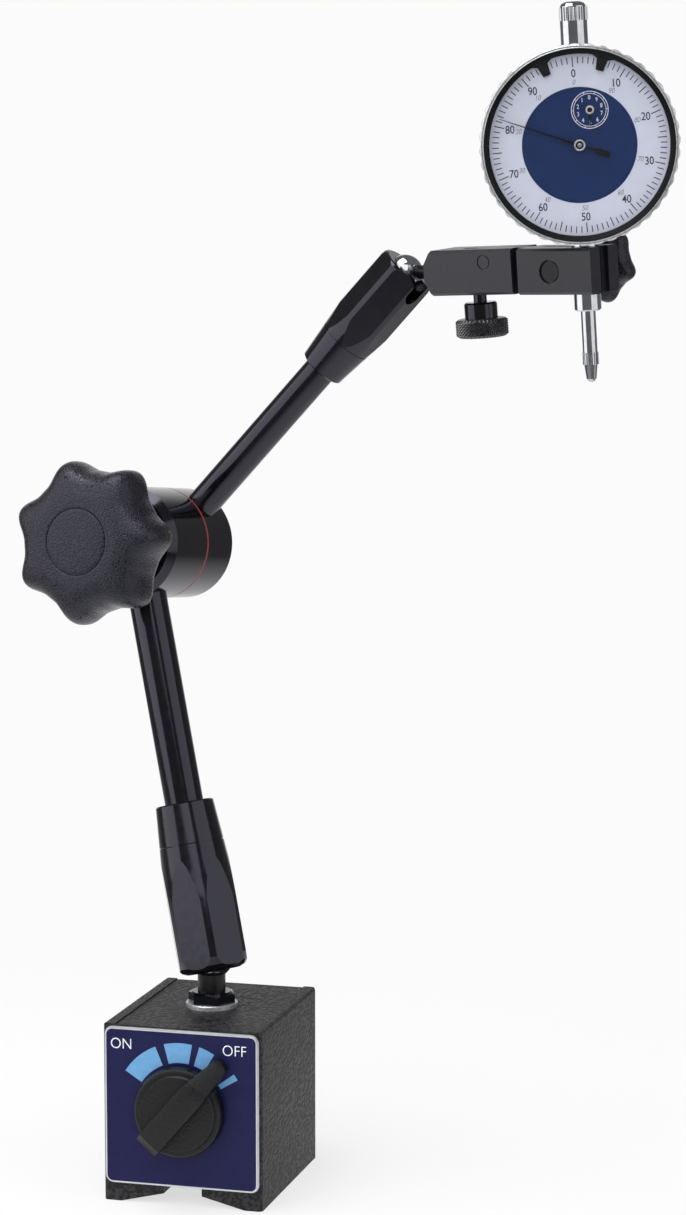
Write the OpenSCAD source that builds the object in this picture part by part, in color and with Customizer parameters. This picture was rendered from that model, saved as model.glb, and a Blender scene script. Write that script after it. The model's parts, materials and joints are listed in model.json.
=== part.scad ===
// Dial indicator on a magnetic base with a jointed mechanical arm.
// Millimetres, +Z up. The origin is at the middle of the base's underside, the switch faces -Y.

/* [Magnetic base] */
// Width of the block, left to right
base_w = 50; // [44:1:60]
// Depth of the block, front to back
base_d = 60; // [54:1:75]
// Height of the block
base_h = 55; // [53:1:65]
// Rounding of the block's outer edges
base_round = 1.3; // [0.6:0.1:2]
// Width of each flat foot under the block
foot_w = 5.5; // [4:0.5:7]
// Rise of the vee from a foot to the slot
vee_rise = 3.3; // [2:0.1:4.5]
// Width of the slot at the top of the vee
slot_w = 12; // [10:0.5:16]
// Height of the slot's roof above the ground
slot_top = 8; // [6:0.5:9]
// Thickness of the brass spacer between the iron poles
spacer_t = 3; // [2:0.5:5]
// Depth of the milled recess across the top
top_recess = 0.35; // [0.1:0.05:0.8]
// Width of the raised land at each side of that recess
top_land = 4; // [2:0.5:6]

/* [Magnet switch] */
// Switch axis below the top of the block
switch_down = 25.2; // [23.5:0.1:26]
// Diameter of the magnet rotor
rotor_d = 32; // [28:1:33]
// Iron left behind the rotor
rear_wall = 5; // [4:0.5:8]
// Air gap around the rotor
rotor_gap = 0.3; // [0.2:0.05:0.5]
// Thickness of the disc that closes the rotor bore
bore_cap_t = 5; // [4:0.5:7]
// Diameter of the switch shaft
switch_shaft_d = 8; // [6:0.5:10]
// Turn of the switch from off to on
switch_turn = 90; // [60:5:120]
// Thickness of the name plate on the front
plate_t = 1.2; // [0.8:0.1:2]
// Margin between the plate and the block's sides and top
plate_margin = 0.8; // [0.5:0.1:2]
// Height of the plate's lower edge
plate_low = 5.8; // [5:0.1:8]
// Corner radius of the plate
plate_round = 2.5; // [1.5:0.1:4]
// Width of the plate's bevelled rim
plate_rim = 0.7; // [0.4:0.1:1.2]
// Diameter of the switch knob's flange
switch_d = 27.5; // [25:0.5:32]
// Height of the flange
switch_flange_t = 3.6; // [3:0.1:5]
// Total height of the knob with its pointer bar
switch_h = 10.5; // [9:0.5:14]
// Width of the pointer bar
pointer_w = 8; // [6:0.5:10]
// Reach of the pointer's tip past the flange
pointer_reach = 7.4; // [4:0.1:8]
// Direction of the pointer at rest, from the right, anticlockwise
pointer_dir = 49; // [45:1:50]

/* [Lower ball joint] */
// Thread of the stud in the base
stud_d = 8; // [6:0.5:10]
// Depth of that thread in the block
stud_depth = 6.5; // [5:0.5:7]
// Height of the lower ball's centre above the block
stud_rise = 15.3; // [14:0.1:20]
// Neck below the ball
low_neck_d = 8.6; // [8:0.1:9]
// Washer on the block, outer diameter
washer_d = 16; // [15:0.5:20]
// Washer thickness
washer_t = 1.4; // [1:0.1:2]
// Lock nut across flats
nut_af = 13; // [12:0.5:15]
// Lock nut thickness
nut_t = 3.4; // [3:0.1:4.5]
// Diameter of the lower ball
low_ball_d = 14; // [13:0.5:15]
// Reach of the lower seat past its ball's centre
low_lip = 3.2; // [2.5:0.1:4]
// Skirt of the lower sleeve below that seat
low_skirt = 1.5; // [0.5:0.1:2]

/* [Upper ball joint] */
// Diameter of the upper ball
up_ball_d = 11; // [10:0.5:12]
// Neck beside the ball
up_neck_d = 4.2; // [4:0.1:4.3]
// Shoulder of the neck at the holder
neck_shoulder_d = 6; // [5:0.1:7]
// Distance from the ball's centre to the holder
neck_len = 12.4; // [11:0.1:15]
// Reach of the upper sleeve past its ball's centre
up_lip = 1.7; // [1:0.1:1.8]
// Width of the slot in the sleeve that lets the neck fold
fold_slot_w = 6; // [5.8:0.1:6.6]
// Depth of that slot from the sleeve's end
fold_slot_len = 7.5; // [6:0.5:9]

/* [Arms] */
// From the lower ball's centre to the hub axis
low_arm = 129.8; // [110:1:160]
// From the hub axis to the upper ball's centre
up_arm = 116.2; // [100:1:150]
// Diameter of the lower tube
low_tube_d = 12; // [11.5:0.1:12.4]
// Diameter of the upper tube
up_tube_d = 10; // [9.5:0.1:10.4]
// Bore of the lower tube
low_tube_bore = 8; // [7:0.1:8.5]
// Bore of the upper tube
up_tube_bore = 7; // [6.5:0.1:7.4]
// Diameter of the push rods inside the tubes
rod_d = 6; // [5:0.1:6.2]
// Length of the lower sleeve
low_sleeve_len = 52.5; // [48:0.5:58]
// Lower sleeve at its tube end
low_sleeve_d = 18; // [17:0.1:19]
// Widest part of the lower sleeve
low_sleeve_max = 23; // [22.4:0.1:24]
// Lower sleeve across its six flats
low_flats = 20.9; // [20.2:0.1:21.6]
// Length of the lower sleeve's taper from its tube end
low_taper = 30; // [24:0.5:34]
// Length of the upper sleeve
up_sleeve_len = 41.9; // [40:0.1:48]
// Upper sleeve at its tube end
up_sleeve_d = 14.2; // [13.6:0.1:15]
// Widest part of the upper sleeve
up_sleeve_max = 18.6; // [17.8:0.1:19]
// Upper sleeve across its six flats
up_flats = 16.9; // [16.2:0.1:17.4]
// Length of the upper sleeve's taper from its tube end
up_taper = 20; // [16:0.5:24]
// Length of tube held in a sleeve
tube_grip = 20; // [14:0.5:22]

/* [Arm pose] */
// Direction that the lower arm leans towards, from +X
lean_dir = 148.3; // [0:0.1:180]
// Lean of the lower arm from upright
lean = 15.2; // [0:0.1:20]
// Turn of the lower arm about its own length
arm_turn = -158.2; // [-180:0.1:180]
// Bend of the elbow from straight
elbow = 56.4; // [40:0.1:80]
// Direction that the holder's neck bends towards, about the upper arm
neck_dir = -16.8; // [-20:0.1:20]
// Bend of the neck from the upper arm
neck_bend = 48.2; // [30:0.1:52]
// Turn of the holder about its neck
neck_turn = 21.2; // [-40:0.1:40]

/* [Clamping hub] */
// Diameter of the hub halves
hub_d = 34.8; // [32:0.2:38]
// Length of the front half
hub_front_len = 21.5; // [20:0.1:24]
// Length of the rear half
hub_rear_len = 16.5; // [14:0.1:20]
// Chamfer at the front of the hub
hub_chamfer = 2.2; // [1:0.1:2.5]
// Rounding at the rear of the hub
hub_rear_chamfer = 0.8; // [0.4:0.1:1.5]
// Lower tube's axis in front of the ring
low_tube_ahead = 13.2; // [13:0.1:13.6]
// Upper tube's axis behind the ring's front face
up_tube_behind = 7; // [6.6:0.1:8]
// Thickness of the red friction ring
ring_t = 1; // [0.6:0.1:1.4]
// Width of the friction ring
ring_w = 6; // [4:0.5:8]
// Bolt through the hub, under the arms
bolt_d = 10; // [9:0.5:11]
// Threaded end of that bolt
bolt_thread_d = 8; // [6:0.5:8.5]
// Depth to which the tubes enter the hub
tube_in_hub = 7; // [5:0.5:9]

/* [Star knob] */
// Diameter over the lobes
star_d = 51; // [46:0.5:56]
// Number of lobes
star_lobes = 7; // [5:1:9]
// Depth of the hollows between lobes, as a share of the radius
star_hollow = 0.15; // [0.08:0.005:0.2]
// Height from the hub to the crown of the knob
star_h = 30.2; // [27:0.1:36]
// Height of the lobed part
star_rim_h = 18.4; // [16:0.1:22]
// Turn of the first lobe
star_phase = 43.7; // [0:0.1:51]
// Diameter of the cap in the crown
star_cap_d = 20; // [16:0.5:24]
// Brass bush in the knob, outer diameter
bush_d = 14; // [12:0.5:16]

/* [Holder] */
// Depth of the holder's section
holder_d = 14.5; // [14:0.1:17]
// Height of the holder's section
holder_h = 13.6; // [13:0.1:14]
// Chamfer along the holder's edges
holder_chamfer = 0.8; // [0.4:0.1:1.2]
// Length of the fork
fork_len = 32.2; // [31:0.1:38]
// Length of the bevel at the fork's end
fork_bevel = 2.6; // [1.5:0.1:4]
// Height of that bevel
fork_bevel_h = 4.2; // [3:0.1:4.5]
// Gap between the fork and the clamp
fork_gap = 2.2; // [1.6:0.1:3]
// Width of the tongue in the fork
tongue_w = 5; // [4:0.1:6]
// Hinge pin from the fork's end
pin_from_end = 22.2; // [21:0.1:23]
// Hinge pin above the holder's axis
pin_up = 3; // [2.6:0.1:3.4]
// Diameter of the hinge pin
pin_d = 3.8; // [3:0.1:4.2]
// Fine screw from the fork's end
fine_from_end = 15; // [14.6:0.1:15.4]
// Thread of the fine screw
fine_d = 4; // [3:0.1:4.4]
// Diameter of the fine screw's knurled head
fine_head_d = 16; // [13:0.5:18]
// Thickness of that head
fine_head_t = 5.6; // [4.5:0.1:7]
// Diameter of the collar above the head
fine_collar_d = 10; // [8:0.5:12]
// Thickness of the collar
fine_collar_t = 4.9; // [3:0.1:6]
// Gap between the holder and the collar
fine_gap = 2.6; // [1.5:0.1:4]
// Tilt of the clamp about the hinge pin at rest
fine_rest = 0.9; // [-0.5:0.1:1.5]
// Length of the clamp's block
clamp_len = 26; // [25:0.1:30]
// Clamp screw from the stem's axis
clamp_screw_from_stem = 8.2; // [8.1:0.1:9]
// Stem's axis from the clamp's end
stem_from_end = 6.5; // [6.3:0.1:8]
// Diameter of the clamp screw
clamp_screw_d = 5.9; // [5:0.1:6.2]
// Width of the saw cut that makes the jaws
jaw_slit = 1.6; // [1:0.1:2]
// Width of the dovetail groove at its mouth
dovetail_w = 4.4; // [4:0.1:5]
// Depth of the dovetail groove
dovetail_t = 1.6; // [1.2:0.1:1.8]
// Diameter of the clamp knob over its lobes
clamp_knob_d = 24; // [18:0.5:26]
// Number of lobes on the clamp knob
clamp_lobes = 6; // [5:1:8]
// Thickness of the clamp knob's lobed part
clamp_knob_t = 8; // [7:0.5:11]
// Boss between the clamp and its knob
clamp_boss_t = 9; // [4:0.5:10]

/* [Dial indicator] */
// Turn of the dial about the stem
dial_turn = 34; // [20:1:40]
// Diameter of the stem
stem_d = 8; // [7.8:0.1:8.2]
// Stem below the holder's axis
stem_low = 12; // [10:0.5:16]
// Gap between the bezel and the holder
bezel_gap = 0.6; // [0.4:0.1:2]
// Width of the bezel outside the case
bezel_wall = 2.5; // [2.1:0.1:3.5]
// Number of scallops
bezel_scallops = 44; // [30:1:60]
// Depth of a scallop
scallop_t = 0.7; // [0.3:0.1:1]
// Reach of the bezel's lip inside the case's rim
dial_lip = 0.45; // [0.3:0.05:1]
// Diameter of the fixed blue disc
centre_d = 33.2; // [30:0.1:36]
// Outer diameter of the case
case_d = 53; // [52.6:0.1:54]
// Thickness of the case wall
case_wall = 2.5; // [2:0.1:3]
// Depth of the case
case_t = 14.5; // [13.5:0.5:18]
// Thickness of the back cover
cover_t = 1.6; // [1:0.1:2]
// Crystal thickness
crystal_t = 0.8; // [0.6:0.1:1.2]
// Gap between the main hand's tip and the bezel's lip
hand_gap = 1.65; // [0.6:0.05:4]
// Direction of the main hand at rest, anticlockwise from the top
hand_dir = 68.7; // [0:0.1:360]
// Turn of the bezel at rest
bezel_set = 2.2; // [0:0.1:10]
// Angle of each limit marker from the scale's zero at rest
marker_dir = 20; // [16:0.5:40]
// Counter arbor to the right of the centre
counter_x = 3.4; // [3.2:0.1:3.6]
// Counter arbor above the centre
counter_y = 9.9; // [9.5:0.1:10.3]

/* [Spindle and movement] */
// Diameter of the spindle
spindle_d = 4.4; // [4.2:0.1:4.6]
// Measuring travel
travel = 10; // [8:0.5:10]
// Spindle's shoulder below the holder's axis
spindle_low = 24.3; // [24:0.1:28]
// Length of the contact point
contact_len = 8.9; // [7:0.1:12]
// Diameter of the contact point's collar
contact_d = 5; // [4.6:0.1:5.6]
// Height of the tube above the case
top_tube_h = 9; // [7:0.1:12]
// Height of the cap above that tube
top_cap_h = 5.5; // [5:0.1:8]
// Diameter of the cap
top_cap_d = 8.4; // [8:0.1:9.4]
// Teeth on the large wheels
wheel_teeth = 100; // [80:10:120]
// Teeth on the centre pinion
pinion_teeth = 10; // [8:1:12]
// Teeth on the rack pinion
rack_teeth = 16; // [14:1:18]

/* [Fits] */
// Radial clearance of running fits
run_gap = 0.05; // [0.03:0.01:0.1]
// Radial clearance of fixed fits
set_gap = 0.02; // [0.01:0.01:0.04]

/* [Hidden] */
// Fineness of true curves
$fn = 96;
// Overshoot of a cutting shape past the face it cuts
cut = 1;

// Heights worked from the block's top
switch_z = base_h - switch_down;
top_z = base_h - top_recess;
nut_z = top_z + washer_t;
ball_z = base_h + stud_rise;
low_ball_r = low_ball_d / 2;
low_flat_z = sqrt(pow(low_ball_r, 2) - pow(low_neck_d / 2, 2)) - 0.15;
up_ball_r = up_ball_d / 2;
up_flat_x = sqrt(pow(up_ball_r, 2) - pow(up_neck_d / 2, 2)) - 0.15;
spigot_d = 3.2;
spigot_in = 2.5;
seat_t = 8;
seat_gap = 2.6;

// Hub, measured along its axis from the lower tube towards the knob
hub_r = hub_d / 2;
ring_z = -low_tube_ahead;
hub_front_z = ring_z + hub_front_len;
rear_front_z = ring_z - ring_t;
rear_end_z = rear_front_z - hub_rear_len;
rod_end_r = bolt_d / 2 + 0.3;
rear_skin = 3;
star_clear = 0.3;
star_z = hub_front_z + star_clear;
crown_z = hub_front_z + star_h;
bush_len = 18;
cap_t = 1.6;

// Holder, measured along its length from the upper ball
pin_x = neck_len + pin_from_end;
fine_x = neck_len + fine_from_end;
clamp_x = neck_len + fork_len + fork_gap;
clamp_end_x = clamp_x + clamp_len;
stem_x = clamp_end_x - stem_from_end;
clamp_screw_x = stem_x - clamp_screw_from_stem;
fork_solid = 11.6;
fork_slot_x = neck_len + fork_solid;
tongue_x = fork_slot_x + 0.8;
fork_floor_z = -3.2;
tongue_low_z = fork_floor_z + 0.9;
tongue_side_gap = 0.1;
spring_x = pin_x + 5.8;
spring_d = 3.6;

// Dial, measured along its axis from the stem towards the viewer
case_r = case_d / 2;
bezel_r = case_r + bezel_wall;
dial_z = holder_h / 2 + bezel_gap + bezel_r;
case_in_r = case_r - case_wall;
case_front = 6.5;
case_back = case_front - case_t;
plate_front = case_front - 0.1;
work_plate_t = 0.8;
bridge_front = 3.1;
bridge_t = 0.6;
bridge_w = 18;
wheel_z = 3.5;
wheel_t = 0.8;
face_z = case_front + 0.5;
face_t = 0.6;
face_front = face_z + face_t;
counter_hand_z = face_front + 0.2;
marker_z = face_front + 0.3;
marker_t = 0.5;
hand_z = marker_z + marker_t + 0.15;
hand_t = 0.2;
crystal_z = hand_z + hand_t + 0.45;
bezel_back = 4.4;
bezel_front = crystal_z + crystal_t + 0.8;
seal_w = 1.4;
dial_r = case_r - dial_lip;
hand_len = dial_r - hand_gap;
seal_r = dial_r + 0.2;
crystal_r = seal_r + 1.1;
arbor_d = 1;
stem_bore = spindle_d / 2 + run_gap;
tube_bore = spindle_d / 2 + 0.2;

// Gear train: centre distance sets the wheels' module, ten millimetres a turn sets the rack's
arbor_gap = sqrt(pow(counter_x, 2) + pow(counter_y, 2));
wheel_module = 2 * arbor_gap / (wheel_teeth + pinion_teeth);
rack_module = 10 / (PI * rack_teeth);
rack_line = counter_x - rack_module * rack_teeth / 2;
mesh_dir = atan2(counter_y, counter_x);
rack_from = dial_z - counter_y - travel - 2.4;
rack_to = dial_z - counter_y + 2.4;

// Every separate piece

// Colours of the real finishes
paint_black = "#37353a";
gloss_black = "#17171b";
knob_black = "#2b2b30";
bright_steel = "#c9ccd1";
iron_grey = "#77787c";
brass = "#c9a24d";
label_blue = "#23264f";
dial_white = "#e6e7ee";
dial_blue = "#1b3562";
ring_red = "#b03028";

// Outline of a rectangle with round corners, centred on the origin
function round_rect(w, h, r, steps = 5) = [
    for (q = [0:3], i = [0:steps])
        let (a = 90 * q + 90 * i / steps,
             sx = (q == 0 || q == 3) ? 1 : -1,
             sy = (q < 2) ? 1 : -1)
        [sx * (w / 2 - r) + r * cos(a), sy * (h / 2 - r) + r * sin(a)]
];

// Section of a bar with chamfered edges
function bar_section(w, h, c) = [
    [-w / 2 + c, -h / 2], [w / 2 - c, -h / 2], [w / 2, -h / 2 + c], [w / 2, h / 2 - c],
    [w / 2 - c, h / 2], [-w / 2 + c, h / 2], [-w / 2, h / 2 - c], [-w / 2, -h / 2 + c]
];

// Outline with straight-flanked teeth: share is the tooth's part of the pitch at its root and tip
function toothed(teeth, root_r, tip_r, root_share, tip_share, phase = 0) = [
    for (i = [0:teeth - 1], k = [0:3])
        let (pitch = 360 / teeth,
             half = (k == 0 || k == 3 ? root_share : tip_share) * pitch / 2,
             a = phase + i * pitch + (k < 2 ? -half : half),
             r = (k == 0 || k == 3) ? root_r : tip_r)
        [r * cos(a), r * sin(a)]
];

// Edge of the bezel: a row of shallow hollows round a circle
function scalloped(r, depth, count, steps = 6) = [
    for (i = [0:count * steps - 1])
        let (a = 360 * i / (count * steps),
             wave = (1 - cos(count * a)) / 2)
        [(r - depth * pow(wave, 1.5)) * cos(a), (r - depth * pow(wave, 1.5)) * sin(a)]
];

// Solid turned from rings of [height, radius, hollow], each pulled in between the lobes
module lobed_solid(rings, lobes, phase, steps) {
    count = len(rings);
    points = concat(
        [[0, 0, rings[0][0]]],
        [for (ring = rings, j = [0:steps - 1])
            let (a = 360 * j / steps,
                 crest = pow((1 + cos(lobes * (a - phase))) / 2, 1.6),
                 r = ring[1] * (1 - ring[2] * (1 - crest)))
            [r * cos(a), r * sin(a), ring[0]]],
        [[0, 0, rings[count - 1][0]]]
    );
    last = count * steps + 1;
    faces = concat(
        [for (j = [0:steps - 1]) [0, 1 + j, 1 + (j + 1) % steps]],
        [for (i = [0:count - 2], j = [0:steps - 1])
            let (a = 1 + i * steps + j, b = 1 + i * steps + (j + 1) % steps)
            [a, a + steps, b + steps]],
        [for (i = [0:count - 2], j = [0:steps - 1])
            let (a = 1 + i * steps + j, b = 1 + i * steps + (j + 1) % steps)
            [a, b + steps, b]],
        [for (j = [0:steps - 1])
            [last - steps + j, last, last - steps + (j + 1) % steps]]
    );
    polyhedron(points = points, faces = faces);
}

// Tube along +Z
module pipe(outer_d, inner_d, h) {
    difference() {
        cylinder(d = outer_d, h = h);
        translate([0, 0, -cut])
            cylinder(d = inner_d, h = h + 2 * cut);
    }
}

// Lower arm: ball centre at the origin, +Z along the arm, the star knob towards -Y
module at_lower_arm() {
    translate([0, 0, ball_z])
        rotate([0, 0, lean_dir])
            rotate([0, lean, 0])
                rotate([0, 0, arm_turn])
                    children();
}

// Hub: the lower tube's axis at the origin, +Z towards the star knob
module at_hub() {
    at_lower_arm()
        translate([0, 0, low_arm])
            rotate([90, 0, 0])
                children();
}

// Upper arm: hub axis at the origin, +Z along the arm
module at_upper_arm() {
    at_lower_arm()
        translate([0, low_tube_ahead + up_tube_behind, low_arm])
            rotate([0, elbow, 0])
                children();
}

// Upper ball: centre at the origin, +Z back along the arm
module at_upper_ball() {
    at_upper_arm()
        translate([0, 0, up_arm])
            rotate([180, 0, 0])
                children();
}

// Holder: upper ball at the origin, +X along the neck, +Z up
module at_holder() {
    at_upper_arm()
        translate([0, 0, up_arm])
            rotate([0, 0, neck_dir])
                rotate([0, neck_bend, 0])
                    rotate([0, 0, neck_turn])
                        rotate([0, -90, 0])
                            children();
}

// Clamp: as the holder, swung about the hinge pin
module at_clamp() {
    at_holder()
        translate([pin_x, 0, pin_up])
            rotate([0, fine_rest, 0])
                translate([-pin_x, 0, -pin_up])
                    children();
}

// Indicator: on the stem's axis at the clamp's middle, +Z up the stem
module at_indicator() {
    at_clamp()
        translate([stem_x, 0, 0])
            rotate([0, 0, dial_turn])
                children();
}

// Dial: at its centre, +Z towards the viewer, +Y up
module at_dial() {
    at_indicator()
        translate([0, 0, dial_z])
            rotate([90, 0, 0])
                children();
}

// Cylinder along +Y between two depths
module along_y(d, from, to) {
    translate([0, to, 0])
        rotate([90, 0, 0])
            cylinder(d = d, h = to - from);
}

// Front outline of the block: feet, vee, slot and rounded upper edges
function block_front() = let (w = base_w / 2, r = base_round) concat(
    [[-w, 0], [-w + foot_w, 0], [-slot_w / 2, vee_rise], [-slot_w / 2, slot_top],
     [slot_w / 2, slot_top], [slot_w / 2, vee_rise], [w - foot_w, 0], [w, 0]],
    [for (i = [0:4]) [w - r + r * cos(22.5 * i), base_h - r + r * sin(22.5 * i)]],
    [for (i = [0:4]) [-w + r - r * sin(22.5 * i), base_h - r + r * cos(22.5 * i)]]
);

// The whole block before it is divided, with its bore, stud hole and top recess
module block_shape() {
    difference() {
        intersection() {
            linear_extrude(height = base_h)
                polygon(round_rect(base_w, base_d, base_round));
            translate([0, base_d / 2, 0])
                rotate([90, 0, 0])
                    linear_extrude(height = base_d)
                        polygon(block_front());
        }
        translate([0, 0, switch_z])
            along_y(rotor_d + 2 * rotor_gap, -base_d / 2 - cut, base_d / 2 - rear_wall);
        translate([0, 0, switch_z])
            along_y(switch_shaft_d + 2 * run_gap, 0, base_d / 2 - rear_wall / 3);
        translate([0, 0, base_h - stud_depth])
            cylinder(d = stud_d + 2 * set_gap, h = stud_depth + cut);
        translate([-base_w / 2 + top_land, -base_d / 2 - cut, top_z])
            cube([base_w - 2 * top_land, base_d + 2 * cut, top_recess + cut]);
    }
}

// Slice of the block between two planes across its width
module block_slice(from, to) {
    intersection() {
        block_shape();
        translate([from, -base_d, -cut])
            cube([to - from, 2 * base_d, base_h + 2 * cut]);
    }
}

module pole_left() {
    color(paint_black)
        block_slice(-base_w, -spacer_t / 2);
}

module pole_right() {
    color(paint_black)
        block_slice(spacer_t / 2, base_w);
}

module brass_spacer() {
    color(paint_black)
        block_slice(-spacer_t / 2, spacer_t / 2);
}

// Radius at which the stop pin runs in the rotor's curved slot
stop_r = rotor_d / 2 - 4.5;
stop_d = 3;
stop_reach = 3;
stop_from = pointer_dir + 90;
cap_back = -base_d / 2 + bore_cap_t;

module bore_cap() {
    color(iron_grey)
        difference() {
            translate([0, 0, switch_z])
                along_y(rotor_d + 2 * rotor_gap - 2 * set_gap, -base_d / 2, cap_back);
            translate([0, 0, switch_z])
                along_y(switch_shaft_d + 2 * run_gap, -base_d, 0);
            stop_pin_shape(stop_d + 2 * set_gap);
        }
}

module stop_pin_shape(d) {
    translate([stop_r * cos(stop_from), 0, switch_z + stop_r * sin(stop_from)])
        along_y(d, cap_back - bore_cap_t / 2, cap_back + stop_reach);
}

module stop_pin() {
    color(bright_steel)
        stop_pin_shape(stop_d);
}

// Height and middle of the printed plate
plate_h = base_h - plate_margin - plate_low;
plate_mid = plate_low + plate_h / 2;
plate_w = base_w - 2 * plate_margin;

module face_plate() {
    color(label_blue)
        difference() {
            translate([0, -base_d / 2, plate_mid])
                rotate([90, 0, 0])
                    union() {
                        linear_extrude(height = plate_t / 2)
                            polygon(round_rect(plate_w, plate_h, plate_round));
                        linear_extrude(height = plate_t)
                            polygon(round_rect(plate_w - plate_rim, plate_h - plate_rim,
                                               plate_round - plate_rim / 2));
                    }
            translate([0, 0, switch_z])
                along_y(switch_shaft_d + 1, -base_d, 0);
        }
}

// Rotor between the bore's cap and its end, with a curved slot for the stop pin
rotor_front = cap_back + 0.3;
rotor_rear = base_d / 2 - rear_wall - 0.3;
stop_play = 6;

module magnet_rotor() {
    color(iron_grey)
        difference() {
            translate([0, 0, switch_z])
                along_y(rotor_d, rotor_front, rotor_rear);
            translate([0, 0, switch_z])
                along_y(switch_shaft_d + 2 * set_gap, -base_d, base_d);
            translate([0, rotor_front + stop_reach + 0.3, switch_z])
                rotate([90, 0, 0])
                    rotate([0, 0, stop_from - switch_turn - stop_play - asin(stop_d / 2 / stop_r)])
                        rotate_extrude(angle = switch_turn + 2 * stop_play
                                               + 2 * asin(stop_d / 2 / stop_r))
                            translate([stop_r - stop_d / 2 - 0.4, 0])
                                square([stop_d + 0.8, stop_reach + cut]);
        }
}

// Knob stands a little clear of the plate
knob_back = -base_d / 2 - plate_t - 0.3;
shaft_in_knob = 6;

module switch_shaft() {
    color(bright_steel)
        translate([0, 0, switch_z])
            along_y(switch_shaft_d, knob_back - shaft_in_knob, base_d / 2 - rear_wall / 3 - 0.4);
}

// Outline of the pointer bar, tip towards +X
function pointer_outline() = let (w = pointer_w / 2, r = switch_d / 2, tip = r + pointer_reach) [
    [-r + 0.4, -w], [r - 3, -w], [tip - 1.2, -w * 0.62], [tip, -w * 0.3],
    [tip, w * 0.3], [tip - 1.2, w * 0.62], [r - 3, w], [-r + 0.4, w]
];

module switch_knob() {
    color(knob_black)
        translate([0, knob_back, switch_z])
            rotate([90, 0, 0])
                difference() {
                    union() {
                        rotate_extrude()
                            polygon([
                                [0, 0], [switch_d / 2, 0], [switch_d / 2, switch_flange_t - 0.8],
                                [switch_d / 2 - 0.8, switch_flange_t],
                                [switch_d / 2 - 2.6, switch_flange_t],
                                [switch_d / 2 - 3.2, switch_flange_t + 1.6],
                                [switch_d / 2 - 5.4, switch_flange_t + 1.8],
                                [switch_d / 2 - 6, switch_flange_t + 2.8], [0, switch_flange_t + 2.8]
                            ]);
                        rotate([0, 0, pointer_dir])
                            intersection() {
                                linear_extrude(height = switch_h)
                                    polygon(pointer_outline());
                                translate([0, pointer_w, 0])
                                    rotate([90, 0, 0])
                                        linear_extrude(height = 2 * pointer_w)
                                            polygon(pointer_side());
                            }
                    }
                    translate([0, 0, -cut])
                        cylinder(d = switch_shaft_d + 2 * set_gap, h = shaft_in_knob + cut);
                }
}

// Side view of the pointer bar: level over the disc, stepped down at the tip
function pointer_side() = let (r = switch_d / 2, tip = r + pointer_reach) [
    [-r, 0.6], [tip + cut, 0.6], [tip + cut, switch_flange_t], [tip - 1.5, switch_flange_t + 1],
    [r - 2.5, switch_flange_t + 1.8], [r - 4.5, switch_h - 0.7], [r - 5.5, switch_h],
    [-r + 3.5, switch_h], [-r + 0.4, switch_h - 2.5]
];

module lower_stud() {
    color(gloss_black)
        rotate_extrude()
            polygon([
                [0, base_h - stud_depth], [stud_d / 2, base_h - stud_depth],
                [stud_d / 2, nut_z + nut_t], [low_neck_d / 2, nut_z + nut_t],
                [low_neck_d / 2, ball_z - low_flat_z - run_gap],
                [spigot_d / 2, ball_z - low_flat_z - run_gap],
                [spigot_d / 2, ball_z + spigot_in], [0, ball_z + spigot_in]
            ]);
}

module stud_washer() {
    color(bright_steel)
        translate([0, 0, top_z])
            rotate_extrude()
                polygon([
                    [stud_d / 2 + 0.1, 0], [washer_d / 2, 0], [washer_d / 2, washer_t - 0.3],
                    [washer_d / 2 - 0.3, washer_t], [stud_d / 2 + 0.1, washer_t]
                ]);
}

module stud_nut() {
    color(gloss_black)
        translate([0, 0, nut_z])
            difference() {
                intersection() {
                    cylinder(d = nut_af / cos(30), h = nut_t, $fn = 6);
                    rotate_extrude()
                        polygon([[0, 0], [nut_af, 0], [nut_af, nut_t - 3.2],
                                 [nut_af / 2 + 0.15, nut_t], [0, nut_t]]);
                }
                translate([0, 0, -cut])
                    cylinder(d = stud_d + 2 * set_gap, h = nut_t + 2 * cut);
            }
}

// Ball with a flat and a blind bore towards -Z
module bored_ball(r, flat_z) {
    difference() {
        sphere(r = r);
        translate([0, 0, -flat_z - 2 * r])
            cylinder(r = r, h = 2 * r);
        translate([0, 0, -r - cut])
            cylinder(d = spigot_d + 2 * run_gap, h = r + cut + spigot_in + 0.3);
    }
}

module lower_ball() {
    color(bright_steel)
        translate([0, 0, ball_z])
            bored_ball(low_ball_r, low_flat_z);
}

// Pad that bears on a ball, in the sleeve's bore
module ball_pad(r) {
    difference() {
        translate([0, 0, seat_gap])
            cylinder(r = r - run_gap, h = seat_t);
        sphere(r = r + run_gap);
    }
}

// Widening of the mouth below a ball's seat, for each millimetre of skirt
mouth_flare = 0.62;

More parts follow.
